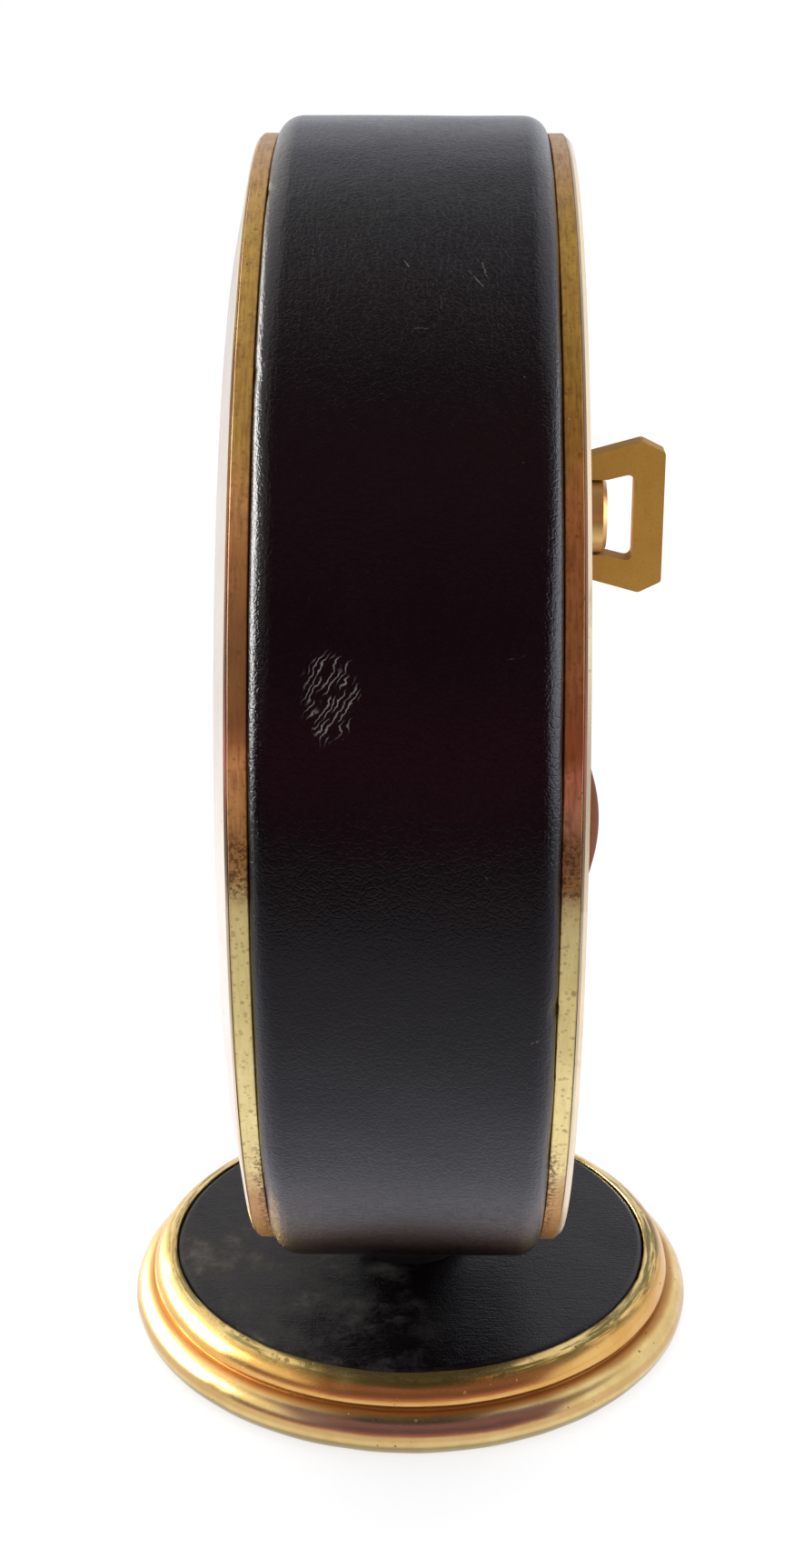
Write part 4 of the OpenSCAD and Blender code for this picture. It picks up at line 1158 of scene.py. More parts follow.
@dataclass(frozen=True)
class SteelFinish:
    """Turned or stamped steel, bright or blued."""

    name: str
    tone: Steel = Steel.BRIGHT

    def material(self) -> bpy.types.Material:
        """Builds the steel.

        Returns:
            The material.
        """
        tint, rough = self.tone.value
        surface = Surface(self.name)
        graph, at = surface.graph, surface.at
        cloud = graph.place(MOTTLE, point=at["Point"], size=3.0, contrast=2.0).outputs
        lines = graph.place(LINES, across=at["Across"], along=at["Along"], pitch=0.12).outputs["Height"]
        darker = tuple(0.7 * part for part in tint)
        colour = graph.lay(tint, cloud["Cloud"], 0.5, darker)
        surface.feed(base_color=colour, metallic=1.0, roughness=graph.more(rough - 0.06, cloud["Grain"], 0.14))
        surface.bump((lines, 0.003))
        return surface.material


@dataclass(frozen=True)
class GlassFinish:
    """The domed crystal, clear and lightly smeared."""

    name: str = "crystal glass"

    def material(self) -> bpy.types.Material:
        """Builds the glass.

        Returns:
            The material.
        """
        surface = Surface(self.name)
        graph, at = surface.graph, surface.at
        smear = graph.step(graph.noise(at["Point"], 0.12, 4.0, 0.7), 0.45, 0.8)
        surface.feed(base_color=(0.985, 0.992, 0.988), metallic=0.0, ior=1.5)
        surface.feed(roughness=graph.times(smear, 0.035))
        surface.shader.inputs["Transmission Weight"].default_value = 1.0
        return surface.material


@dataclass(frozen=True)
class DialFinish:
    """Pale brushed dial with a printed minute track."""

    name: str = "dial paint"
    track: float = 43.9
    tick: float = 1.4
    tick_widths: tuple[Span, ...] = ((6.0, 0.1), (30.0, 0.24))
    line: float = 0.05
    paints: tuple[Colour, Colour] = ((0.66, 0.6, 0.47), (0.75, 0.7, 0.58))
    age: Colour = (0.56, 0.46, 0.3)
    rim: Colour = (0.5, 0.4, 0.25)
    ink: Colour = (0.02, 0.018, 0.015)

    def printing(self, surface: Surface) -> Socket:
        """Draws the minute ticks, the wider ones at the hours and the two circles of the track.

        Args:
            surface: The material while it is made.

        Returns:
            The ink's mask.
        """
        graph, at = surface.graph, surface.at
        ends = (self.track - 0.5 * self.tick, self.track + 0.5 * self.tick)
        masks = []
        for every, half_wide in self.tick_widths:
            off = graph.times(graph.math("PINGPONG", at["Angle"], every / 2), at["Across"], DEGREE)
            line = graph.step(off, half_wide + 0.03, half_wide - 0.03)
            masks.append(graph.times(line, graph.band(at["Across"], ends, 0.05)))
        for radius in ends:
            masks.append(graph.band(at["Across"], (radius - self.line, radius + self.line), 0.04))
        return graph.join(*masks)

    def material(self) -> bpy.types.Material:
        """Builds the dial's paint and print.

        Returns:
            The material.
        """
        surface = Surface(self.name)
        graph, at = surface.graph, surface.at
        brushed = graph.vector(graph.times(at["Angle"], 2.4), graph.times(at["Across"], 0.02))
        rays = graph.noise(brushed, 1.0, 3.0, 0.7)
        age = graph.place(MOTTLE, point=at["Point"], size=16.0, contrast=1.8).outputs
        colour = graph.mix(rays, *self.paints)
        colour = graph.lay(colour, age["Cloud"], 0.22, self.age)
        colour = graph.lay(colour, graph.step(at["Across"], 40.0, 50.0), 0.25, self.rim)
        ink = self.printing(surface)
        colour = graph.lay(colour, ink, 0.92, self.ink)
        surface.feed(base_color=colour, metallic=0.25, roughness=graph.more(0.34, rays, 0.16))
        surface.bump((rays, 0.006), (ink, 0.01))
        return surface.material


@dataclass(frozen=True)
class PlainFinish:
    """Paint, cast iron, felt or stone: one colour broken up by clouds, grain and bump."""

    name: str
    tint: Colour
    shade: Colour
    roughness: float
    metallic: float = 0.0
    size: float = 4.0
    grain: float = 0.02
    axis: Axis = Axis.FOOT
    sheen: float = 0.0
    sheen_roughness: float = 0.5
    dust: Colour = (0.2, 0.18, 0.16)

    def material(self) -> bpy.types.Material:
        """Builds the finish.

        Returns:
            The material.
        """
        surface = Surface(self.name, self.axis)
        graph, at = surface.graph, surface.at
        cloud = graph.place(MOTTLE, point=at["Point"], size=self.size, contrast=2.0).outputs
        dust = graph.place(DUST, point=at["Point"], size=self.size * 2).outputs
        colour = graph.mix(cloud["Cloud"], self.tint, self.shade)
        colour = graph.lay(colour, dust["Haze"], 0.1, self.dust)
        rough = graph.more(self.roughness - 0.07, cloud["Grain"], 0.14)
        surface.feed(base_color=colour, metallic=self.metallic, roughness=rough)
        if self.sheen:
            surface.shader.inputs["Sheen Weight"].default_value = self.sheen
            surface.shader.inputs["Sheen Roughness"].default_value = self.sheen_roughness
        surface.bump((cloud["Grain"], self.grain))
        return surface.material


class Palette:
    """All finishes of the clock, each made into a material once."""

    def __init__(self) -> None:
        """Builds the materials."""
        drum = LeatherFinish(
            "drum leather",
            Axis.DRUM,
            marks=(
                Mark(-7.84, 56.7, -10.0, 2.4, 0.05, 0.4),
                Mark(-0.25, 55.9, -30.0, 1.1, 0.06, 0.6),
                Mark(5.6, 53.9, -31.0, 1.9, 0.07, 0.6),
                Mark(6.1, 55.2, -15.0, 2.4, 0.06, 0.7),
                Mark(4.9, 55.0, -28.0, 1.0, 0.05, 0.4),
                Mark(1.0, 48.8, 90.0, 1.5, 0.06, 0.4),
                Mark(2.6, 51.5, -4.0, 1.8, 0.05, 0.25),
                Mark(8.6, 21.0, 82.0, 1.6, 0.05, 0.2),
                Mark(10.5, -11.3, 72.0, 0.9, 0.1, 0.5),
            ),
            scuffs=(Scuff(-5.85, 17.9, 4.5, 6.9, 33.0, 0.42),),
        )
        ring = RimBrass(
            "ring brass", metallic=0.88, roughness=0.32, tarnish=(0.46, 0.22, 0.05), tarnish_share=0.4,
            blotch=0.45,
        )
        self.finishes: dict[str, Finish] = {
            "drum_leather": drum,
            "foot_leather": LeatherFinish(
                "foot leather", Axis.FOOT, roughness=0.33, haze=0.7, dust=(0.21, 0.2, 0.18)
            ),
            "ring_brass": ring,
            # The front ring's own tarnish and painted reflection, darker on its side.
            "front_ring_brass": replace(
                ring, name="front ring brass", metallic=0.6, tarnish_share=0.32, tarnish_and_reflection=FRONT_TARNISH_AND_REFLECTION
            ),
            # Brass darkened to a dull maroon: painted shade, as the knob sits in shade.
            "shaded_knob_brass": BrassFinish(
                "knob brass", tint=(0.34, 0.13, 0.05), tarnish=(0.16, 0.06, 0.025), metallic=0.7,
                roughness=0.45, edge_tint=(0.3, 0.12, 0.06),
            ),
            "shell_brass": BrassFinish("shell brass", roughness=0.42, tarnish_share=0.6),
            "foot_brass": FootBrass(
                "foot brass", tint=(0.91, 0.7, 0.3), roughness=0.2, tarnish=(0.6, 0.34, 0.08),
                tarnish_share=0.5, blotch=0.3,
            ),
            "cover_brass": CoverBrass(
                "cover brass", tint=(0.78, 0.55, 0.24), tarnish=(0.46, 0.25, 0.08), roughness=0.28,
                tarnish_share=0.45, pit_share=0.12, lines=0.006,
            ),
            "gilt_brass": BrassFinish(
                "gilt brass", tint=(0.95, 0.82, 0.57), tarnish=(0.8, 0.56, 0.3), roughness=0.17,
                tarnish_share=0.25, pit_share=0.06,
            ),
            "hand_brass": BrassFinish(
                "hand brass", tint=(0.88, 0.66, 0.3), tarnish=(0.6, 0.36, 0.14), roughness=0.18,
                tarnish_share=0.15, pit_share=0.0,
            ),
            "boss_brass": BrassFinish(
                "boss brass", tint=(0.8, 0.53, 0.2), tarnish=(0.5, 0.24, 0.06), metallic=0.8,
                roughness=0.32, tarnish_share=0.35, pit_share=0.08,
            ),
            "key_brass": KeyBrass(
                "key brass", tint=(0.66, 0.38, 0.07), tarnish=(0.5, 0.26, 0.05), metallic=0.55,
                roughness=0.42, tarnish_share=0.35, pit_share=0.05,
            ),
            "movement_brass": MovementBrass(
                "movement brass", tint=(0.85, 0.66, 0.3), roughness=0.28, tarnish_share=0.15, pit_share=0.0
            ),
            "steel": SteelFinish("bright steel"),
            "blued_steel": SteelFinish("blued steel", Steel.BLUED),
            "glass": GlassFinish(),
            "dial": DialFinish(),
            "neck_paint": PlainFinish(
                "neck paint", (0.008, 0.0075, 0.008), (0.014, 0.012, 0.012), roughness=0.36
            ),
            "iron": PlainFinish(
                "foot iron", (0.05, 0.045, 0.042), (0.09, 0.05, 0.03), roughness=0.7, metallic=0.5,
                size=2.0, grain=0.08,
            ),
            "felt": PlainFinish(
                "green felt", (0.012, 0.03, 0.016), (0.02, 0.045, 0.026), roughness=0.95, size=1.2,
                grain=0.2, sheen=0.3,
            ),
            "ruby": PlainFinish(
                "ruby", (0.35, 0.01, 0.03), (0.5, 0.03, 0.06), roughness=0.12, size=1.0, grain=0.0
            ),
        }
        self.made: dict[str, bpy.types.Material] = {}

    def get(self, key: str) -> bpy.types.Material:
        """Gives a finish's material, made the first time it is asked for.

        Args:
            key: The finish's name in the palette.

        Returns:
            The material.
        """
        if key not in self.made:
            self.made[key] = self.finishes[key].material()
        return self.made[key]


# ---------------------------------------------------------------- meshes

# Below these a radius in mm, a direction and a sum of normals count as nothing.
ON_AXIS = 1e-6
NO_LENGTH = 1e-9
NO_AREA = 1e-15
# The share of a profile's side that one fillet may take.
FILLET_ROOM = 0.45


@dataclass(frozen=True)
class Corner:
    """A corner of a turned profile: its distance across and along the axis, and the fillet that rounds it."""

    across: float
    along: float
    fillet: float = 0.0


@dataclass(frozen=True)
class Dent:
    """A small dent: its middle in mm, how far it reaches and how deep it is."""

    middle: tuple[float, float, float]
    reach: float
    depth: float


def arc(across: float, along: float, radius: float, start: float, end: float, steps: int) -> list[Corner]:
    """Gives the points of an arc in a profile.

    Args:
        across: The centre's distance from the axis.
        along: The centre's distance along the axis.
        radius: The arc's radius.
        start: The first angle in degrees, 0 being outwards and 90 along the axis.
        end: The last angle.
        steps: How many parts it has.

    Returns:
        The corners, with no fillets.
    """
    angles = [math.radians(start + (end - start) * index / steps) for index in range(steps + 1)]
    return [Corner(across + radius * math.cos(a), along + radius * math.sin(a)) for a in angles]


def rounded(corners: Sequence[Corner], longest: float = 1.5, steps: int = 4) -> np.ndarray:
    """Rounds a closed profile's corners and divides its long sides.

    Args:
        corners: The corners in order.
        longest: The longest side allowed, in mm.
        steps: How many parts a fillet has.

    Returns:
        The profile's points, as rows of across and along.
    """
    points: list[np.ndarray] = []
    count = len(corners)
    for index, corner in enumerate(corners):
        here = np.array((corner.across, corner.along))
        if corner.fillet <= 0:
            points.append(here)
            continue
        before, after = corners[index - 1], corners[(index + 1) % count]
        first = np.array((before.across, before.along)) - here
        second = np.array((after.across, after.along)) - here
        room = FILLET_ROOM * min(np.linalg.norm(first), np.linalg.norm(second))
        first, second = first / np.linalg.norm(first), second / np.linalg.norm(second)
        half = 0.5 * math.acos(max(-1.0, min(1.0, float(first @ second))))
        reach = min(corner.fillet / math.tan(half), room)
        radius = reach * math.tan(half)
        middle = here + (first + second) / np.linalg.norm(first + second) * radius / math.sin(half)
        start, end = here + first * reach - middle, here + second * reach - middle
        sweep = math.acos(max(-1.0, min(1.0, float(start @ end) / radius**2)))
        for part in range(steps + 1):
            share = part / steps
            turned = (math.sin((1 - share) * sweep) * start + math.sin(share * sweep) * end) / math.sin(sweep)
            points.append(middle + turned)
    dense: list[np.ndarray] = []
    for here, after in zip(points, points[1:] + points[:1]):
        dense.append(here)
        if here[0] < ON_AXIS and after[0] < ON_AXIS:
            continue
        parts = max(1, math.ceil(float(np.linalg.norm(after - here)) / longest))
        dense.extend(here + (after - here) * part / parts for part in range(1, parts))
    return np.array(dense)


def settle(name: str, data: bmesh.types.BMesh) -> bpy.types.Object:
    """Turns finished mesh data into an object of the scene.

    Args:
        name: The name of the mesh and of the object.
        data: The mesh data, which is freed.

    Returns:
        The new object.
    """
    mesh = bpy.data.meshes.new(name)
    data.to_mesh(mesh)
    data.free()
    piece = bpy.data.objects.new(name, mesh)
    bpy.context.scene.collection.objects.link(piece)
    return piece


def area_normals(mesh: bpy.types.Mesh) -> None:
    """Gives a mesh smooth normals in which large faces count most, so that flats beside fillets stay flat.

    Args:
        mesh: The mesh to shade.
    """
    mesh.polygons.foreach_set("use_smooth", [True] * len(mesh.polygons))
    sums = np.zeros((len(mesh.vertices), 3))
    for polygon in mesh.polygons:
        share = np.array(polygon.normal) * polygon.area
        for vertex in polygon.vertices:
            sums[vertex] += share
    lengths = np.linalg.norm(sums, axis=1, keepdims=True)
    upright = np.tile((0.0, 0.0, 1.0), (len(sums), 1))
    sums = np.divide(sums, lengths, out=upright, where=lengths > NO_AREA)
    mesh.normals_split_custom_set_from_vertices(sums.tolist())


@dataclass
class Turning:
    """A round piece made by turning a profile about the drum's or the foot's axis, a little uneven."""

    name: str
    axis: Axis
    profile: np.ndarray
    segments: int = 256
    swell: float = 0.0
    swell_size: float = 9.0
    dents: tuple[Dent, ...] = ()

    def rings(self) -> np.ndarray:
        """Places the profile's points round the axis and moves them off true.

        Returns:
            Points in mm, as profile index, segment and coordinate.
        """
        turns = np.linspace(0.0, math.tau, self.segments, endpoint=False)
        across, along = self.profile[:, :1], self.profile[:, 1:]
        ahead = np.roll(self.profile, -1, axis=0) - self.profile
        behind = self.profile - np.roll(self.profile, 1, axis=0)
        edge = ahead + behind
        lean = np.stack((edge[:, 1], -edge[:, 0]), axis=1)
        radii, heights = self.profile[:, 0], self.profile[:, 1]
        area = np.sum(radii * np.roll(heights, -1) - np.roll(radii, -1) * heights)
        lean *= np.sign(area) / np.maximum(np.linalg.norm(lean, axis=1, keepdims=True), NO_LENGTH)
        first, second = np.cos(turns), np.sin(turns)
        spread = np.ones_like(turns)
        place = np.stack((across * first, across * second, along * spread), axis=2)
        facing = np.stack((lean[:, :1] * first, lean[:, :1] * second, lean[:, 1:] * spread), axis=2)
        if self.axis is Axis.DRUM:
            place, facing = place[:, :, (0, 2, 1)], facing[:, :, (0, 2, 1)]
            place = place + np.array((0.0, 0.0, DRUM_HEIGHT))
        return self.uneven(place, facing)

    def uneven(self, place: np.ndarray, facing: np.ndarray) -> np.ndarray:
        """Moves points along their normals by a slow swell and by dents.

        Args:
            place: The true points.
            facing: Their normals.

        Returns:
            The moved points.
        """
        if self.swell:
            flat = place.reshape(-1, 3)
            wave = [noise.noise(Vector(point) / self.swell_size) - 0.35 for point in flat]
            shift = self.swell * np.array(wave).reshape(place.shape[:2])
            shift[self.profile[:, 0] < ON_AXIS] = 0.0
            place = place + facing * shift[:, :, None]
        for dent in self.dents:
            away = np.linalg.norm(place - np.array(dent.middle), axis=2)
            push = dent.depth * np.exp(-((away / dent.reach) ** 2))
            place = place - facing * push[:, :, None]
        return place

    def build(self) -> bpy.types.Object:
        """Builds the piece.

        Returns:
            The new object, in metres.
        """
        place = self.rings() * MM
        data = bmesh.new()
        rows: list[list[bmesh.types.BMVert]] = []
        for index, ring in enumerate(place):
            if self.profile[index, 0] < ON_AXIS:
                rows.append([data.verts.new(ring[0])] * self.segments)
            else:
                rows.append([data.verts.new(point) for point in ring])
        for low, high in zip(rows, rows[1:] + rows[:1]):
            for one, two in zip(range(self.segments), [*range(1, self.segments), 0]):
                loop = list(dict.fromkeys((low[one], low[two], high[two], high[one])))
                if len(loop) >= 3:
                    data.faces.new(loop)
        bmesh.ops.recalc_face_normals(data, faces=data.faces)
        piece = settle(self.name, data)
        area_normals(piece.data)
        return piece


@dataclass
class Softened:
    """A piece of the frame with its sharp edges worn round.

    Spots are lines across the piece, by distance along the drum, height and radius, whose corners are rounder.
    """

    node: str
    width: float = 0.12
    spots: tuple[Place, ...] = ()
    spot_reach: float = 0.35
    spot_steps: int = 5
    segments: int = 3
    sharp_angle: float = 32.0
    flat_angle: float = 0.6
    weld: float = 1e-6

    def at_spot(self, edge: bmesh.types.BMEdge, along: float, height: float) -> bool:
        """Tells whether an edge is the line across the piece at a spot.

        Args:
            edge: The edge.
            along: The spot's distance along the drum, in mm.
            height: The spot's height, in mm.

        Returns:
            Whether it lies there and is longer than a millimetre.
        """
        away = [math.hypot(vert.co.y / MM - along, vert.co.z / MM - height) for vert in edge.verts]
        return max(away) < self.spot_reach and edge.calc_length() > MM

    def build(self, nodes: dict[str, bpy.types.Object]) -> bpy.types.Object:
        """Copies the node's mesh, joins its flat faces and rounds its edges.

        Args:
            nodes: The frame's nodes by name.

        Returns:
            The new object.
        """
        data = bmesh.new()
        data.from_mesh(nodes[self.node].data)
        bmesh.ops.remove_doubles(data, verts=data.verts, dist=self.weld)
        flat = math.radians(self.flat_angle)
        bmesh.ops.dissolve_limit(data, angle_limit=flat, verts=data.verts, edges=data.edges)
        for along, height, radius in self.spots:
            bmesh.ops.bevel(
                data, geom=[edge for edge in data.edges if self.at_spot(edge, along, height)],
                offset=radius * MM, offset_type="OFFSET", segments=self.spot_steps, profile=0.5, affect="EDGES",
            )
        limit = math.radians(self.sharp_angle)
        joined = [edge for edge in data.edges if len(edge.link_faces) == 2]
        bmesh.ops.bevel(
            data, geom=[edge for edge in joined if edge.calc_face_angle(0.0) > limit],
            offset=self.width * MM, offset_type="OFFSET", segments=self.segments,
            profile=0.5, affect="EDGES", clamp_overlap=True,
        )
        bmesh.ops.recalc_face_normals(data, faces=data.faces)
        piece = settle(f"{self.node}_worn", data)
        area_normals(piece.data)
        return piece


# ---------------------------------------------------------------- sub-assemblies


@dataclass
class Workshop:
    """The frame and the palette, and how a piece is fitted or a node dressed."""

    nodes: dict[str, bpy.types.Object]
    palette: Palette

    def fit(
        self, piece: bpy.types.Object, body: str, finish: str, slot: str, *replaced: str
    ) -> bpy.types.Object:
        """Gives a piece its finish and its place on a body.

        Args:
            piece: The new piece.
            body: The body it rides on.
            finish: The finish's name in the palette.
            slot: Not used.
            replaced: The nodes it stands for.

        Returns:
            The piece.
        """
        piece.data.materials.clear()
        piece.data.materials.append(self.palette.get(finish))
        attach(piece, body)
        if replaced:
            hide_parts(*replaced)
        LOG.info("%s: %d faces, rides on %s", piece.name, len(piece.data.polygons), body)
        return piece

    def dress(self, finish: str, *names: str) -> None:
        """Gives nodes of the frame a finish.

        Args:
            finish: The finish's name in the palette.
            names: The nodes.
        """
        material = self.palette.get(finish)
        for name in names:
            data = self.nodes[name].data
            if data.materials:
                for index in range(len(data.materials)):
                    data.materials[index] = material
            else:
                data.materials.append(material)
        LOG.info("%s: %s", finish, ", ".join(names))

    def soften(
        self, node: str, body: str, finish: str, slot: str, width: float = 0.12,
        spots: tuple[Place, ...] = (),
    ) -> bpy.types.Object:
        """Replaces a node by its copy with worn edges.

        Args:
            node: The node's name.
            body: The body it rides on.
            finish: The finish's name in the palette.
            slot: Not used; passed on to fit, which does not use it.
            width: How far each edge is worn back, in mm.
            spots: Lines across the piece whose corners are rounder.

        Returns:
            The new piece.
        """
        return self.fit(Softened(node, width, spots).build(self.nodes), body, finish, slot, node)


Spot = tuple[Place, float, float]


@dataclass
class Drum:
    """The leather-covered band and the two brass rings that hold its edges.

    Dents and nicks are an angle, a distance along the axis and a radius, and then their reach and depth.
    """

    leather_radius: float = 55.0
    leather_inner: float = 53.22
    leather_edge: float = 12.3
    edge_drop: float = 1.64
    edge_run: float = 2.2
    leather_side: float = 0.9
    edge_degrees: int = 6
    ring_outer: float = 53.4
    ring_edge: float = 13.9
    ring_side: float = 1.2
    seat_bore: float = 49.98
    spigot_outer: float = 51.48
    spigot_end: float = 7.3
    ledge_bore: float = 45.48
    ledge_faces: Span = (9.78, 10.98)
    shoulder: Span = (12.32, 12.39)
    shoulder_outer: float = 53.33
    lip_outer: float = 53.32
    lip_drop: float = 0.09
    segments: int = 420
    leather_dents: tuple[Spot, ...] = (
        ((59.0, 3.5, 55.0), 1.6, 0.05), ((20.5, -6.8, 55.0), 2.2, 0.04), ((-9.0, 12.0, 54.0), 0.7, 0.18),
        ((47.0, -12.0, 54.0), 0.8, 0.1), ((71.0, -12.0, 54.0), 0.6, 0.12),
    )
    rear_nicks: tuple[Spot, ...] = (
        ((-9.7, 12.5, 53.4), 0.35, 0.3), ((-13.5, 12.5, 53.4), 0.25, 0.14), ((-17.0, 12.5, 53.4), 0.3, 0.12),
        ((33.0, 12.6, 53.4), 0.3, 0.1), ((-22.0, 13.0, 53.4), 0.9, 0.04),
    )
    front_nicks: tuple[Spot, ...] = (
        ((57.0, -12.6, 53.4), 0.35, 0.14), ((48.0, -13.2, 53.4), 0.3, 0.08), ((21.0, -13.5, 53.4), 0.3, 0.1),
    )

    def leather_profile(self) -> np.ndarray:
        """Draws the band's section, rounded at both edges.

        Returns:
            The profile's points.
        """
        side = [
            Corner(
                self.leather_radius - self.edge_drop * (1 - math.cos(math.radians(turn))),
                self.leather_edge - self.edge_run * (1 - math.sin(math.radians(turn))),
            )
            for turn in range(0, 91, self.edge_degrees)
        ]
        inner = [Corner(self.leather_inner, way * self.leather_edge) for way in (1, -1)]
        mirrored = [Corner(corner.across, -corner.along) for corner in reversed(side)]
        return rounded([*side, *inner, *mirrored], self.leather_side)

    def ring_profile(self, side: int, ledge: bool) -> np.ndarray:
        """Draws a ring's section.

        Args:
            side: 1 for the rear ring, -1 for the front one.
            ledge: Whether it has the ledge that the dial rests on.

        Returns:
            The profile's points.
        """
        bore, spigot, outer = self.seat_bore, self.spigot_outer, self.ring_outer
        low, high = self.ledge_faces
        section = [(bore, self.spigot_end, 0.05), (spigot, self.spigot_end, 0.05)]
        if ledge:
            shelf = [(self.ledge_bore, high, 0.1), (self.ledge_bore, low, 0.1)]
            section = [(bore, high, 0.05), *shelf, (bore, low, 0.1), *section]
        section += [
            (spigot, self.shoulder[0], 0.05), (self.shoulder_outer, self.shoulder[0], 0.04),
            (outer, self.shoulder[1], 0.05), (outer, self.ring_edge - self.lip_drop, 0.07),
            (self.lip_outer, self.ring_edge, 0.05), (bore, self.ring_edge, 0.05),
        ]
        corners = [Corner(across, side * along, fillet) for across, along, fillet in section]
        return rounded(corners, self.ring_side)

    def place_on(self, degrees: float, along: float, radius: float) -> Place:
        """Finds a point on the drum.

        Args:
            degrees: Its angle above the side that the photograph shows.
            along: The distance along the axis.
            radius: The distance from the axis.

        Returns:
            The point in mm.
        """
        turn = math.radians(degrees)
        return radius * math.cos(turn), along, DRUM_HEIGHT + radius * math.sin(turn)

    def dents(self, spots: Sequence[Spot]) -> tuple[Dent, ...]:
        """Places dents on the drum."""
        return tuple(Dent(self.place_on(*spot), reach, depth) for spot, reach, depth in spots)

    def build(self, shop: Workshop) -> None:
        """Builds and dresses the drum.

        Args:
            shop: Where pieces are fitted.
        """
        leather = Turning(
            "leather_cover", Axis.DRUM, self.leather_profile(), self.segments, swell=0.07, swell_size=7.0,
            dents=self.dents(self.leather_dents),
        )
        shop.fit(leather.build(), "case", "drum_leather", "leather", "leather_band")
        rear = Turning(
            "rear_rim", Axis.DRUM, self.ring_profile(1, False), self.segments, swell=0.03, swell_size=6.0,
            dents=self.dents(self.rear_nicks),
        )
        shop.fit(rear.build(), "case", "ring_brass", "brass", "rear_ring")
        front = Turning(
            "front_rim", Axis.DRUM, self.ring_profile(-1, True), self.segments, swell=0.03, swell_size=6.0,
            dents=self.dents(self.front_nicks),
        )
        shop.fit(front.build(), "case", "front_ring_brass", "brass", "front_ring")
        shop.dress("shell_brass", "drum_shell")


@dataclass
class Glazing:
    """The bezel, the domed crystal and the ring that holds it from inside."""

    crystal_radius: float = 46.3
    dome_radius: float = 44.5
    dome_rise: float = 2.2
    crystal_back: float = 13.28
    crystal_front: float = 14.68
    dome_parts: int = 24
    crystal_side: float = 2.2
    spigot: Span = (47.94, 49.94)
    spigot_end: float = 11.82
    groove: float = 46.32
    groove_edge: float = 12.68
    bezel_outer: float = 53.1
    bezel_faces: Span = (13.95, 14.2)
    bezel_bore: float = 44.8
    bore_faces: Span = (14.7, 15.1)
    lip: tuple[float, float, float] = (46.1, 14.8, 0.8)
    lip_angles: Span = (76.0, 110.0)
    bezel_side: float = 1.2
    segments: int = 420

    def bezel_profile(self) -> np.ndarray:
        """Draws the bezel's section.

        Returns:
            The profile's points.
        """
        lip = arc(*self.lip, *self.lip_angles, 6)
        back, edge = self.bezel_faces
        seat, front = self.bore_faces
        corners = [
            Corner(self.spigot[0], self.spigot_end, 0.08), Corner(self.spigot[1], self.spigot_end, 0.08),
            Corner(self.spigot[1], back, 0.05), Corner(self.bezel_outer, back, 0.06),
            Corner(self.bezel_outer, edge, 0.12), *lip, Corner(self.bezel_bore, front, 0.12),
            Corner(self.bezel_bore, seat, 0.05), Corner(self.groove, seat, 0.03),
            Corner(self.groove, self.crystal_back, 0.03), Corner(self.spigot[0], self.groove_edge, 0.05),
        ]
        return rounded([Corner(c.across, -c.along, c.fillet) for c in corners], self.bezel_side)

    def crystal_profile(self) -> np.ndarray:
        """Draws the glass's section, flat at its rim and domed inside it.

        Returns:
            The profile's points.
        """
        ball = (self.dome_radius**2 + self.dome_rise**2) / (2 * self.dome_rise)
        dome = []
        for share in np.linspace(1.0, 0.0, self.dome_parts + 1):
            across = self.dome_radius * float(share)
            dome.append((across, math.sqrt(ball**2 - across**2) - (ball - self.dome_rise)))
        front = [Corner(across, -(self.crystal_front + rise)) for across, rise in dome]
        back = [Corner(across, -(self.crystal_back + rise)) for across, rise in reversed(dome)]
        rim = [
            Corner(self.crystal_radius, -self.crystal_back, 0.1),
            Corner(self.crystal_radius, -self.crystal_front, 0.15),
        ]
        return rounded([*front, *back, *rim], self.crystal_side)

    def build(self, shop: Workshop) -> None:
        """Builds and dresses the front.

        Args:
            shop: Where pieces are fitted.
        """
        bezel = Turning("bezel", Axis.DRUM, self.bezel_profile(), self.segments)
        shop.fit(bezel.build(), "case", "gilt_brass", "gilt_brass", "front_bezel")
        glass = Turning("domed_crystal", Axis.DRUM, self.crystal_profile())
        shop.fit(glass.build(), "case", "glass", "crystal", "crystal")
        shop.dress("gilt_brass", "crystal_ring")


@dataclass
class Face:
    """The dial, its raised bars and the hands."""

    def build(self, shop: Workshop) -> None:
        """Dresses the dial and wears the edges of what stands on it.

        Args:
            shop: Where pieces are fitted.
        """
        shop.dress("dial", "dial")
        shop.dress("shell_brass", "dial_feet")
        shop.dress("steel", "foot_nuts")
        shop.soften("hour_markers", "case", "hand_brass", "gilt_brass", 0.07)
        shop.soften("hour_hand", "hour", "hand_brass", "gilt_brass", 0.07)
        shop.soften("minute_hand", "minute", "hand_brass", "gilt_brass", 0.07)
        shop.soften("hand_nut", "minute", "hand_brass", "gilt_brass", 0.08)


@dataclass
class Back:
    """The back cover with its screws, the winding key and the setting knob."""

    bow_corners: tuple[Place, ...] = (
        (21.2, 92.55, 0.8), (21.2, 83.45, 0.8), (24.1, 94.35, 0.22), (24.1, 81.65, 0.22),
        (21.9, 95.45, 0.25), (21.9, 80.55, 0.25),
    )

    def build(self, shop: Workshop) -> None:
        """Wears the edges of the back's pieces and dresses them.

        Args:
            shop: Where pieces are fitted.
        """
        shop.dress("cover_brass", "back_cover")
        shop.dress("steel", "back_cover_screws", "key_pivot_pins")
        shop.soften("key_boss", "winding", "boss_brass", "key_brass", 0.14)
        shop.soften("key_bow", "bow", "key_brass", "key_brass", 0.14, self.bow_corners)
        # The knob's brass carries painted shade.
        shop.dress("shaded_knob_brass", "setting_knob")


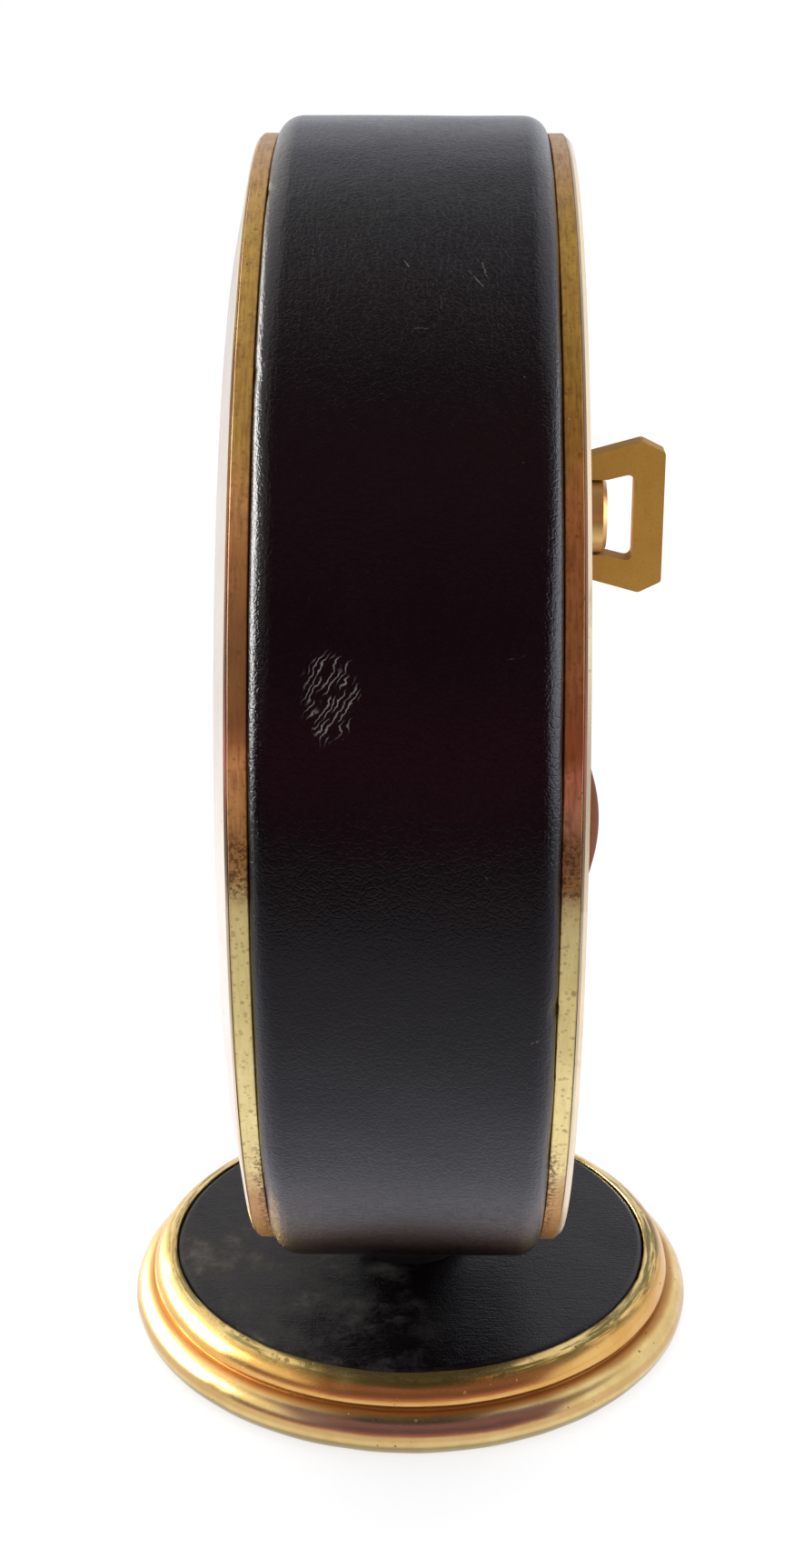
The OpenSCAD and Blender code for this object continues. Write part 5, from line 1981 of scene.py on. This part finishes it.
@dataclass
class Movement:
    """The eight-day movement inside the drum."""

    brass: tuple[str, ...] = (
        "front_plate", "back_plate", "plate_pillars", "barrel", "barrel_cover", "intermediate_wheel",
        "center_wheel", "third_wheel", "fourth_wheel", "balance_wheel", "balance_cock", "minute_wheel",
        "hour_wheel",
    )
    steel: tuple[str, ...] = (
        "winding_arbor", "ratchet_wheel", "setting_arbor", "click", "click_spring", "pillar_screws",
        "intermediate_arbor", "center_arbor", "third_arbor", "fourth_arbor", "escape_wheel", "escape_arbor",
        "pallet_fork", "balance_staff", "cock_screws", "cannon_pinion",
    )

    def build(self, shop: Workshop) -> None:
        """Dresses the movement.

        Args:
            shop: Where pieces are fitted.
        """
        shop.dress("movement_brass", *self.brass)
        shop.dress("steel", *self.steel)
        shop.dress("blued_steel", "mainspring", "hairspring")
        shop.dress("ruby", "pallet_stones")


@dataclass
class Stand:
    """The neck and the round foot with its double bead, leather top and felt."""

    top_radius: float = 25.1
    top_height: float = 7.6
    top_base: float = 5.82
    top_roll: float = 0.7
    top_side: float = 1.1
    lower_bead: tuple[float, float, float] = (27.5, 2.2, 2.2)
    lower_angles: Span = (-59.7, 84.0)
    upper_bead: tuple[float, float, float] = (25.1, 4.8, 2.6)
    upper_angles: Span = (0.0, 88.0)
    bead_joint: Span = (27.3, 4.4)
    core_radius: float = 23.5
    core_faces: Span = (1.5, 5.8)
    skirt: Span = (25.32, 0.3)
    rim_radius: float = 25.12
    edge_side: float = 1.0
    segments: int = 360
    dents: tuple[Dent, ...] = (
        Dent((8.0, 24.5, 7.3), 0.8, 0.12), Dent((25.9, -7.0, 7.0), 1.1, 0.1), Dent((26.2, 5.0, 6.8), 0.7, 0.07),
        Dent((22.0, -19.0, 3.0), 1.4, 0.08), Dent((28.0, 9.5, 3.2), 1.0, 0.08),
    )

    def edge_profile(self) -> np.ndarray:
        """Draws the double bead's section.

        Returns:
            The profile's points.
        """
        lower = arc(*self.lower_bead, *self.lower_angles, 26)
        upper = arc(*self.upper_bead, *self.upper_angles, 20)
        base, top = self.core_faces
        joint, joint_height = self.bead_joint
        corners = [
            Corner(self.core_radius, base, 0.1), Corner(self.skirt[0], base, 0.05), Corner(*self.skirt, 0.05),
            *lower, Corner(joint, joint_height, 0.08), Corner(joint, self.upper_bead[1]), *upper[1:],
            Corner(self.rim_radius, top, 0.05), Corner(self.core_radius, top, 0.1),
        ]
        return rounded(corners, self.edge_side)

    def top_profile(self) -> np.ndarray:
        """Draws the leather disc's section, rolled over at its edge.

        Returns:
            The profile's points.
        """
        roll = arc(
            self.top_radius - self.top_roll, self.top_height - self.top_roll, self.top_roll, 0.0, 90.0, 8
        )
        base = [Corner(0.0, self.top_base), Corner(self.top_radius, self.top_base, 0.1)]
        return rounded([*base, *roll, Corner(0.0, self.top_height)], self.top_side)

    def build(self, shop: Workshop) -> None:
        """Builds and dresses the stand.

        Args:
            shop: Where pieces are fitted.
        """
        edge = Turning(
            "beaded_rim", Axis.FOOT, self.edge_profile(), self.segments, swell=0.05, swell_size=4.0,
            dents=self.dents,
        )
        shop.fit(edge.build(), "case", "foot_brass", "brass", "foot_edge")
        top = Turning("leather_top", Axis.FOOT, self.top_profile(), swell=0.08, swell_size=6.0)
        shop.fit(top.build(), "case", "foot_leather", "leather", "foot_top")
        shop.dress("neck_paint", "neck_collar")
        shop.dress("steel", "mounting_stud", "stud_nuts", "saddle_washer")
        shop.dress("iron", "foot_core")
        shop.dress("felt", "felt_pad")


# ---------------------------------------------------------------- studio


@dataclass(frozen=True)
class Lamp:
    """A soft area lamp: its place and size in mm and its brightness.

    A shown lamp is a reflector that only gloss sees, and only on the pieces it falls on.
    """

    name: str
    place: Place
    wide: float
    tall: float
    brightness: float
    shown: bool = False
    aim: Place = (0.0, 0.0, DRUM_HEIGHT)
    colour: Colour = (1.0, 1.0, 1.0)
    falls_on: tuple[str, ...] = ()


@dataclass
class Studio:
    """The camera, the pale floor, the lamps and what surrounds them.

    The overhead colours go by degrees from the side that the photograph shows, up over the clock.
    """

    camera_place: Place = (231.3, 2.31, 150.74)
    camera_down: float = 21.42
    camera_turn: float = -0.936
    camera_roll: float = 0.017
    focal_pixels: float = 2717.8
    image_height: float = 1725.0
    sensor: float = 36.0
    clip: Span = (0.005, 20.0)
    lamp_power: float = 4.0
    floor_reach: float = 3000.0
    dark_from: float = 228.0
    lamps: tuple[Lamp, ...] = (
        Lamp(
            "window", (-177.0, -350.0, 134.0), wide=445.0, tall=196.0, brightness=17.0, shown=True,
            aim=(-177.0, 0.0, 134.0), colour=(1.0, 0.99, 0.97),
            falls_on=("leather_cover", "front_rim", "rear_rim", "beaded_rim"),
        ),
        Lamp(
            "wall", (0.0, 420.0, 130.0), wide=620.0, tall=260.0, brightness=2.2, shown=True,
            aim=(0.0, 0.0, 130.0), colour=(0.93, 0.95, 1.1),
            falls_on=("leather_cover", "front_rim", "rear_rim", "key_bow_worn", "key_boss_worn"),
        ),
        Lamp("left lamp", (-260.0, -640.0, 160.0), 700.0, 220.0, 1.5),
        Lamp("top lamp", (60.0, 0.0, 900.0), 700.0, 700.0, 0.9),
        Lamp("right lamp", (200.0, 800.0, 380.0), 500.0, 500.0, 0.7),
        Lamp("front lamp", (700.0, 60.0, 420.0), 450.0, 450.0, 0.9),
    )
    overhead: Bands = (
        (-180.0, (0.75, 0.76, 0.8)), (-60.0, (0.4, 0.3, 0.32)), (-4.0, (0.62, 0.17, 0.25)),
        (8.0, (0.5, 0.12, 0.18)), (18.0, (0.10, 0.05, 0.075)), (32.0, (0.1, 0.05, 0.08)),
        (44.0, (0.26, 0.09, 0.12)), (56.0, (0.28, 0.12, 0.14)), (68.0, (0.20, 0.11, 0.12)),
        (85.0, (0.16, 0.11, 0.115)), (106.0, (0.14, 0.12, 0.125)), (118.0, (0.21, 0.20, 0.21)),
        (128.0, (0.32, 0.32, 0.35)), (143.0, (0.48, 0.49, 0.55)), (165.0, (0.60, 0.61, 0.68)),
        (180.0, (0.75, 0.76, 0.80)),
    )

    def camera(self) -> None:
        """Places the camera where the photograph was taken from."""
        down, turn = math.radians(self.camera_down), math.radians(self.camera_turn)
        roll = math.radians(self.camera_roll)
        ahead = Vector((-math.cos(down) * math.cos(turn), math.cos(down) * math.sin(turn), -math.sin(down)))
        right = Vector((math.sin(turn), math.cos(turn), 0.0))
        up = right.cross(ahead)
        side = right * math.cos(roll) + up * math.sin(roll)
        rise = up * math.cos(roll) - right * math.sin(roll)
        data = bpy.data.cameras.new("photo camera")
        data.sensor_fit = "AUTO"
        data.sensor_width = self.sensor
        data.lens = self.sensor * self.focal_pixels / self.image_height
        data.clip_start, data.clip_end = self.clip
        lens = bpy.data.objects.new("photo camera", data)
        facing = Matrix((side, rise, -ahead)).transposed().to_4x4()
        lens.matrix_world = Matrix.Translation(Vector(self.camera_place) * MM) @ facing
        bpy.context.scene.collection.objects.link(lens)
        bpy.context.scene.camera = lens

    def light(self, lamp: Lamp) -> None:
        """Hangs and aims a lamp, and keeps it to the pieces that it falls on where it names any.

        Args:
            lamp: The lamp to hang.
        """
        data = bpy.data.lights.new(lamp.name, "AREA")
        data.shape = "RECTANGLE"
        data.size, data.size_y = lamp.wide * MM, lamp.tall * MM
        data.energy = self.lamp_power * lamp.brightness * data.size * data.size_y
        data.color = lamp.colour
        holder = bpy.data.objects.new(lamp.name, data)
        place = Vector(lamp.place) * MM
        aim = Vector(lamp.aim) * MM - place
        holder.matrix_world = Matrix.Translation(place) @ aim.to_track_quat("-Z", "Y").to_matrix().to_4x4()
        holder.visible_camera = False
        holder.visible_glossy = lamp.shown
        holder.visible_diffuse = holder.visible_transmission = not lamp.shown
        if lamp.falls_on:
            lit = bpy.data.collections.new(f"lit by {lamp.name}")
            for name in lamp.falls_on:
                lit.objects.link(bpy.data.objects[name])
            holder.light_linking.receiver_collection = lit
        bpy.context.scene.collection.objects.link(holder)

    def floor_glow(self, graph: Graph, path: dict[str, Socket], east: Socket, north: Socket) -> Socket:
        """Wires how much the floor shines: evenly, but less in gloss in front of and beside the clock.

        Args:
            graph: The floor's tree.
            path: The outputs of its Light Path node.
            east: The distance to the side that the photograph shows, in metres.
            north: The distance to the back of the clock, in metres.

        Returns:
            The strength's socket.
        """

        def fade(measure: Socket, low: float, high: float) -> Socket:
            """Rises from 0 at one distance in mm to 1 at another."""
            return graph.step(measure, low * MM, high * MM)

        close = graph.times(fade(east, 130.0, 30.0), path["Is Glossy Ray"])
        dim = graph.times(fade(east, 60.0, 120.0), path["Is Glossy Ray"])
        glow = graph.math("ADD", graph.times(close, 0.4), 0.35)
        glow = graph.math("SUBTRACT", glow, graph.times(dim, 0.22))
        far = graph.times(fade(east, -70.0, -200.0), fade(north, -15.0, -45.0))
        beside = graph.times(fade(north, -120.0, -260.0), fade(east, -150.0, -40.0))
        beside = graph.join(beside, fade(north, 140.0, 280.0))
        cut = graph.join(graph.times(far, 0.25), graph.times(beside, 0.55))
        glow = graph.math("SUBTRACT", glow, graph.times(cut, path["Is Glossy Ray"]))
        seen = graph.join(path["Is Camera Ray"], path["Is Transmission Ray"])
        return graph.math("ADD", graph.times(seen, 0.37), glow)

    def floor(self) -> None:
        """Lays the floor: white to the camera, and to polished surfaces dark in front, as a dim room is."""
        material = bpy.data.materials.new("floor")
        material.use_nodes = True
        material.node_tree.nodes.clear()
        graph = Graph(material.node_tree)
        path = graph.add("ShaderNodeLightPath").outputs
        east, north, _ = graph.parts(graph.add("ShaderNodeTexCoord").outputs["Object"])
        near = graph.step(east, (self.dark_from + 14.0) * MM, (self.dark_from - 12.0) * MM)
        near = graph.join(near, graph.math("SUBTRACT", 1.0, path["Is Glossy Ray"]))
        lit = graph.add("ShaderNodeBsdfDiffuse")
        graph.feed(lit.inputs["Color"], graph.mix(near, (0.05, 0.035, 0.04), (0.45, 0.45, 0.455)))
        own = graph.add("ShaderNodeEmission")
        blue = graph.mix(path["Is Glossy Ray"], (1.0, 1.0, 1.0), (0.96, 0.97, 1.14))
        graph.feed(own.inputs["Color"], graph.mix(near, (0.2, 0.1, 0.12), blue))
        graph.feed(own.inputs["Strength"], self.floor_glow(graph, path, east, north))
        both = graph.add("ShaderNodeAddShader")
        graph.feed(both.inputs[0], lit.outputs[0])
        graph.feed(both.inputs[1], own.outputs[0])
        graph.feed(graph.add("ShaderNodeOutputMaterial").inputs["Surface"], both.outputs[0])
        data = bmesh.new()
        bmesh.ops.create_grid(data, x_segments=12, y_segments=12, size=self.floor_reach * MM)
        floor = settle("floor", data)
        floor.data.materials.append(material)

    def surround(self) -> None:
        """Wires the world: white behind and beside the clock, dim and warm in front of the side shown."""
        world = bpy.data.worlds.new("surround")
        world.use_nodes = True
        world.node_tree.nodes.clear()
        bpy.context.scene.world = world
        graph = Graph(world.node_tree)
        path = graph.add("ShaderNodeLightPath").outputs
        east, north, up = graph.parts(graph.add("ShaderNodeTexCoord").outputs["Generated"])
        turn = graph.math("ARCTAN2", up, east)
        place = graph.math("ADD", graph.math("DIVIDE", turn, math.tau), 0.5)
        over = graph.ramp(place, tuple((0.5 + degrees / 360.0, colour) for degrees, colour in self.overhead))
        behind = graph.step(east, 0.1, -0.2)
        right = graph.join(graph.step(north, 0.78, 0.9), graph.times(graph.step(north, 0.05, 0.25), behind))
        wall = graph.mix(graph.step(east, -0.05, -0.3), (1.1, 1.13, 1.25), (1.0, 1.02, 1.1))
        studio = graph.mix(right, over, wall)
        high = graph.times(graph.step(north, -0.5, -0.72), graph.step(up, 0.22, 0.42))
        studio = graph.mix(high, studio, (1.1, 1.06, 0.98))
        left = graph.join(graph.step(north, -0.9, -0.97), graph.times(graph.step(north, -0.05, -0.25), behind))
        studio = graph.mix(left, studio, graph.mix(behind, (0.14, 0.14, 0.17), (1.05, 1.03, 1.02)))
        seen = graph.join(path["Is Camera Ray"], path["Is Transmission Ray"])
        plain = graph.mix(seen, (0.62, 0.62, 0.64), (1.0, 1.0, 1.0))
        back = graph.add("ShaderNodeBackground")
        graph.feed(back.inputs["Color"], graph.mix(path["Is Glossy Ray"], plain, studio))
        graph.feed(graph.add("ShaderNodeOutputWorld").inputs["Surface"], back.outputs[0])

    def build(self) -> None:
        """Sets up the whole studio."""
        bpy.context.scene.view_settings.view_transform = "Standard"
        self.camera()
        self.floor()
        self.surround()
        for lamp in self.lamps:
            self.light(lamp)


def corners(bounds: Sequence[Sequence[float]]) -> list[list[float]]:
    """Turns a box's two corners into plain lists."""
    return [[float(part) for part in corner] for corner in bounds]


def main() -> None:
    """Builds the clock and its studio."""
    logging.basicConfig(level=logging.INFO, format="%(name)s: %(message)s")
    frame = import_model()
    shop = Workshop(frame["nodes"], Palette())
    for part in (Drum(), Glazing(), Face(), Back(), Movement(), Stand()):
        part.build(shop)
        LOG.info("%s done", type(part).__name__)
    Studio().build()


if __name__ == "__main__":
    main()
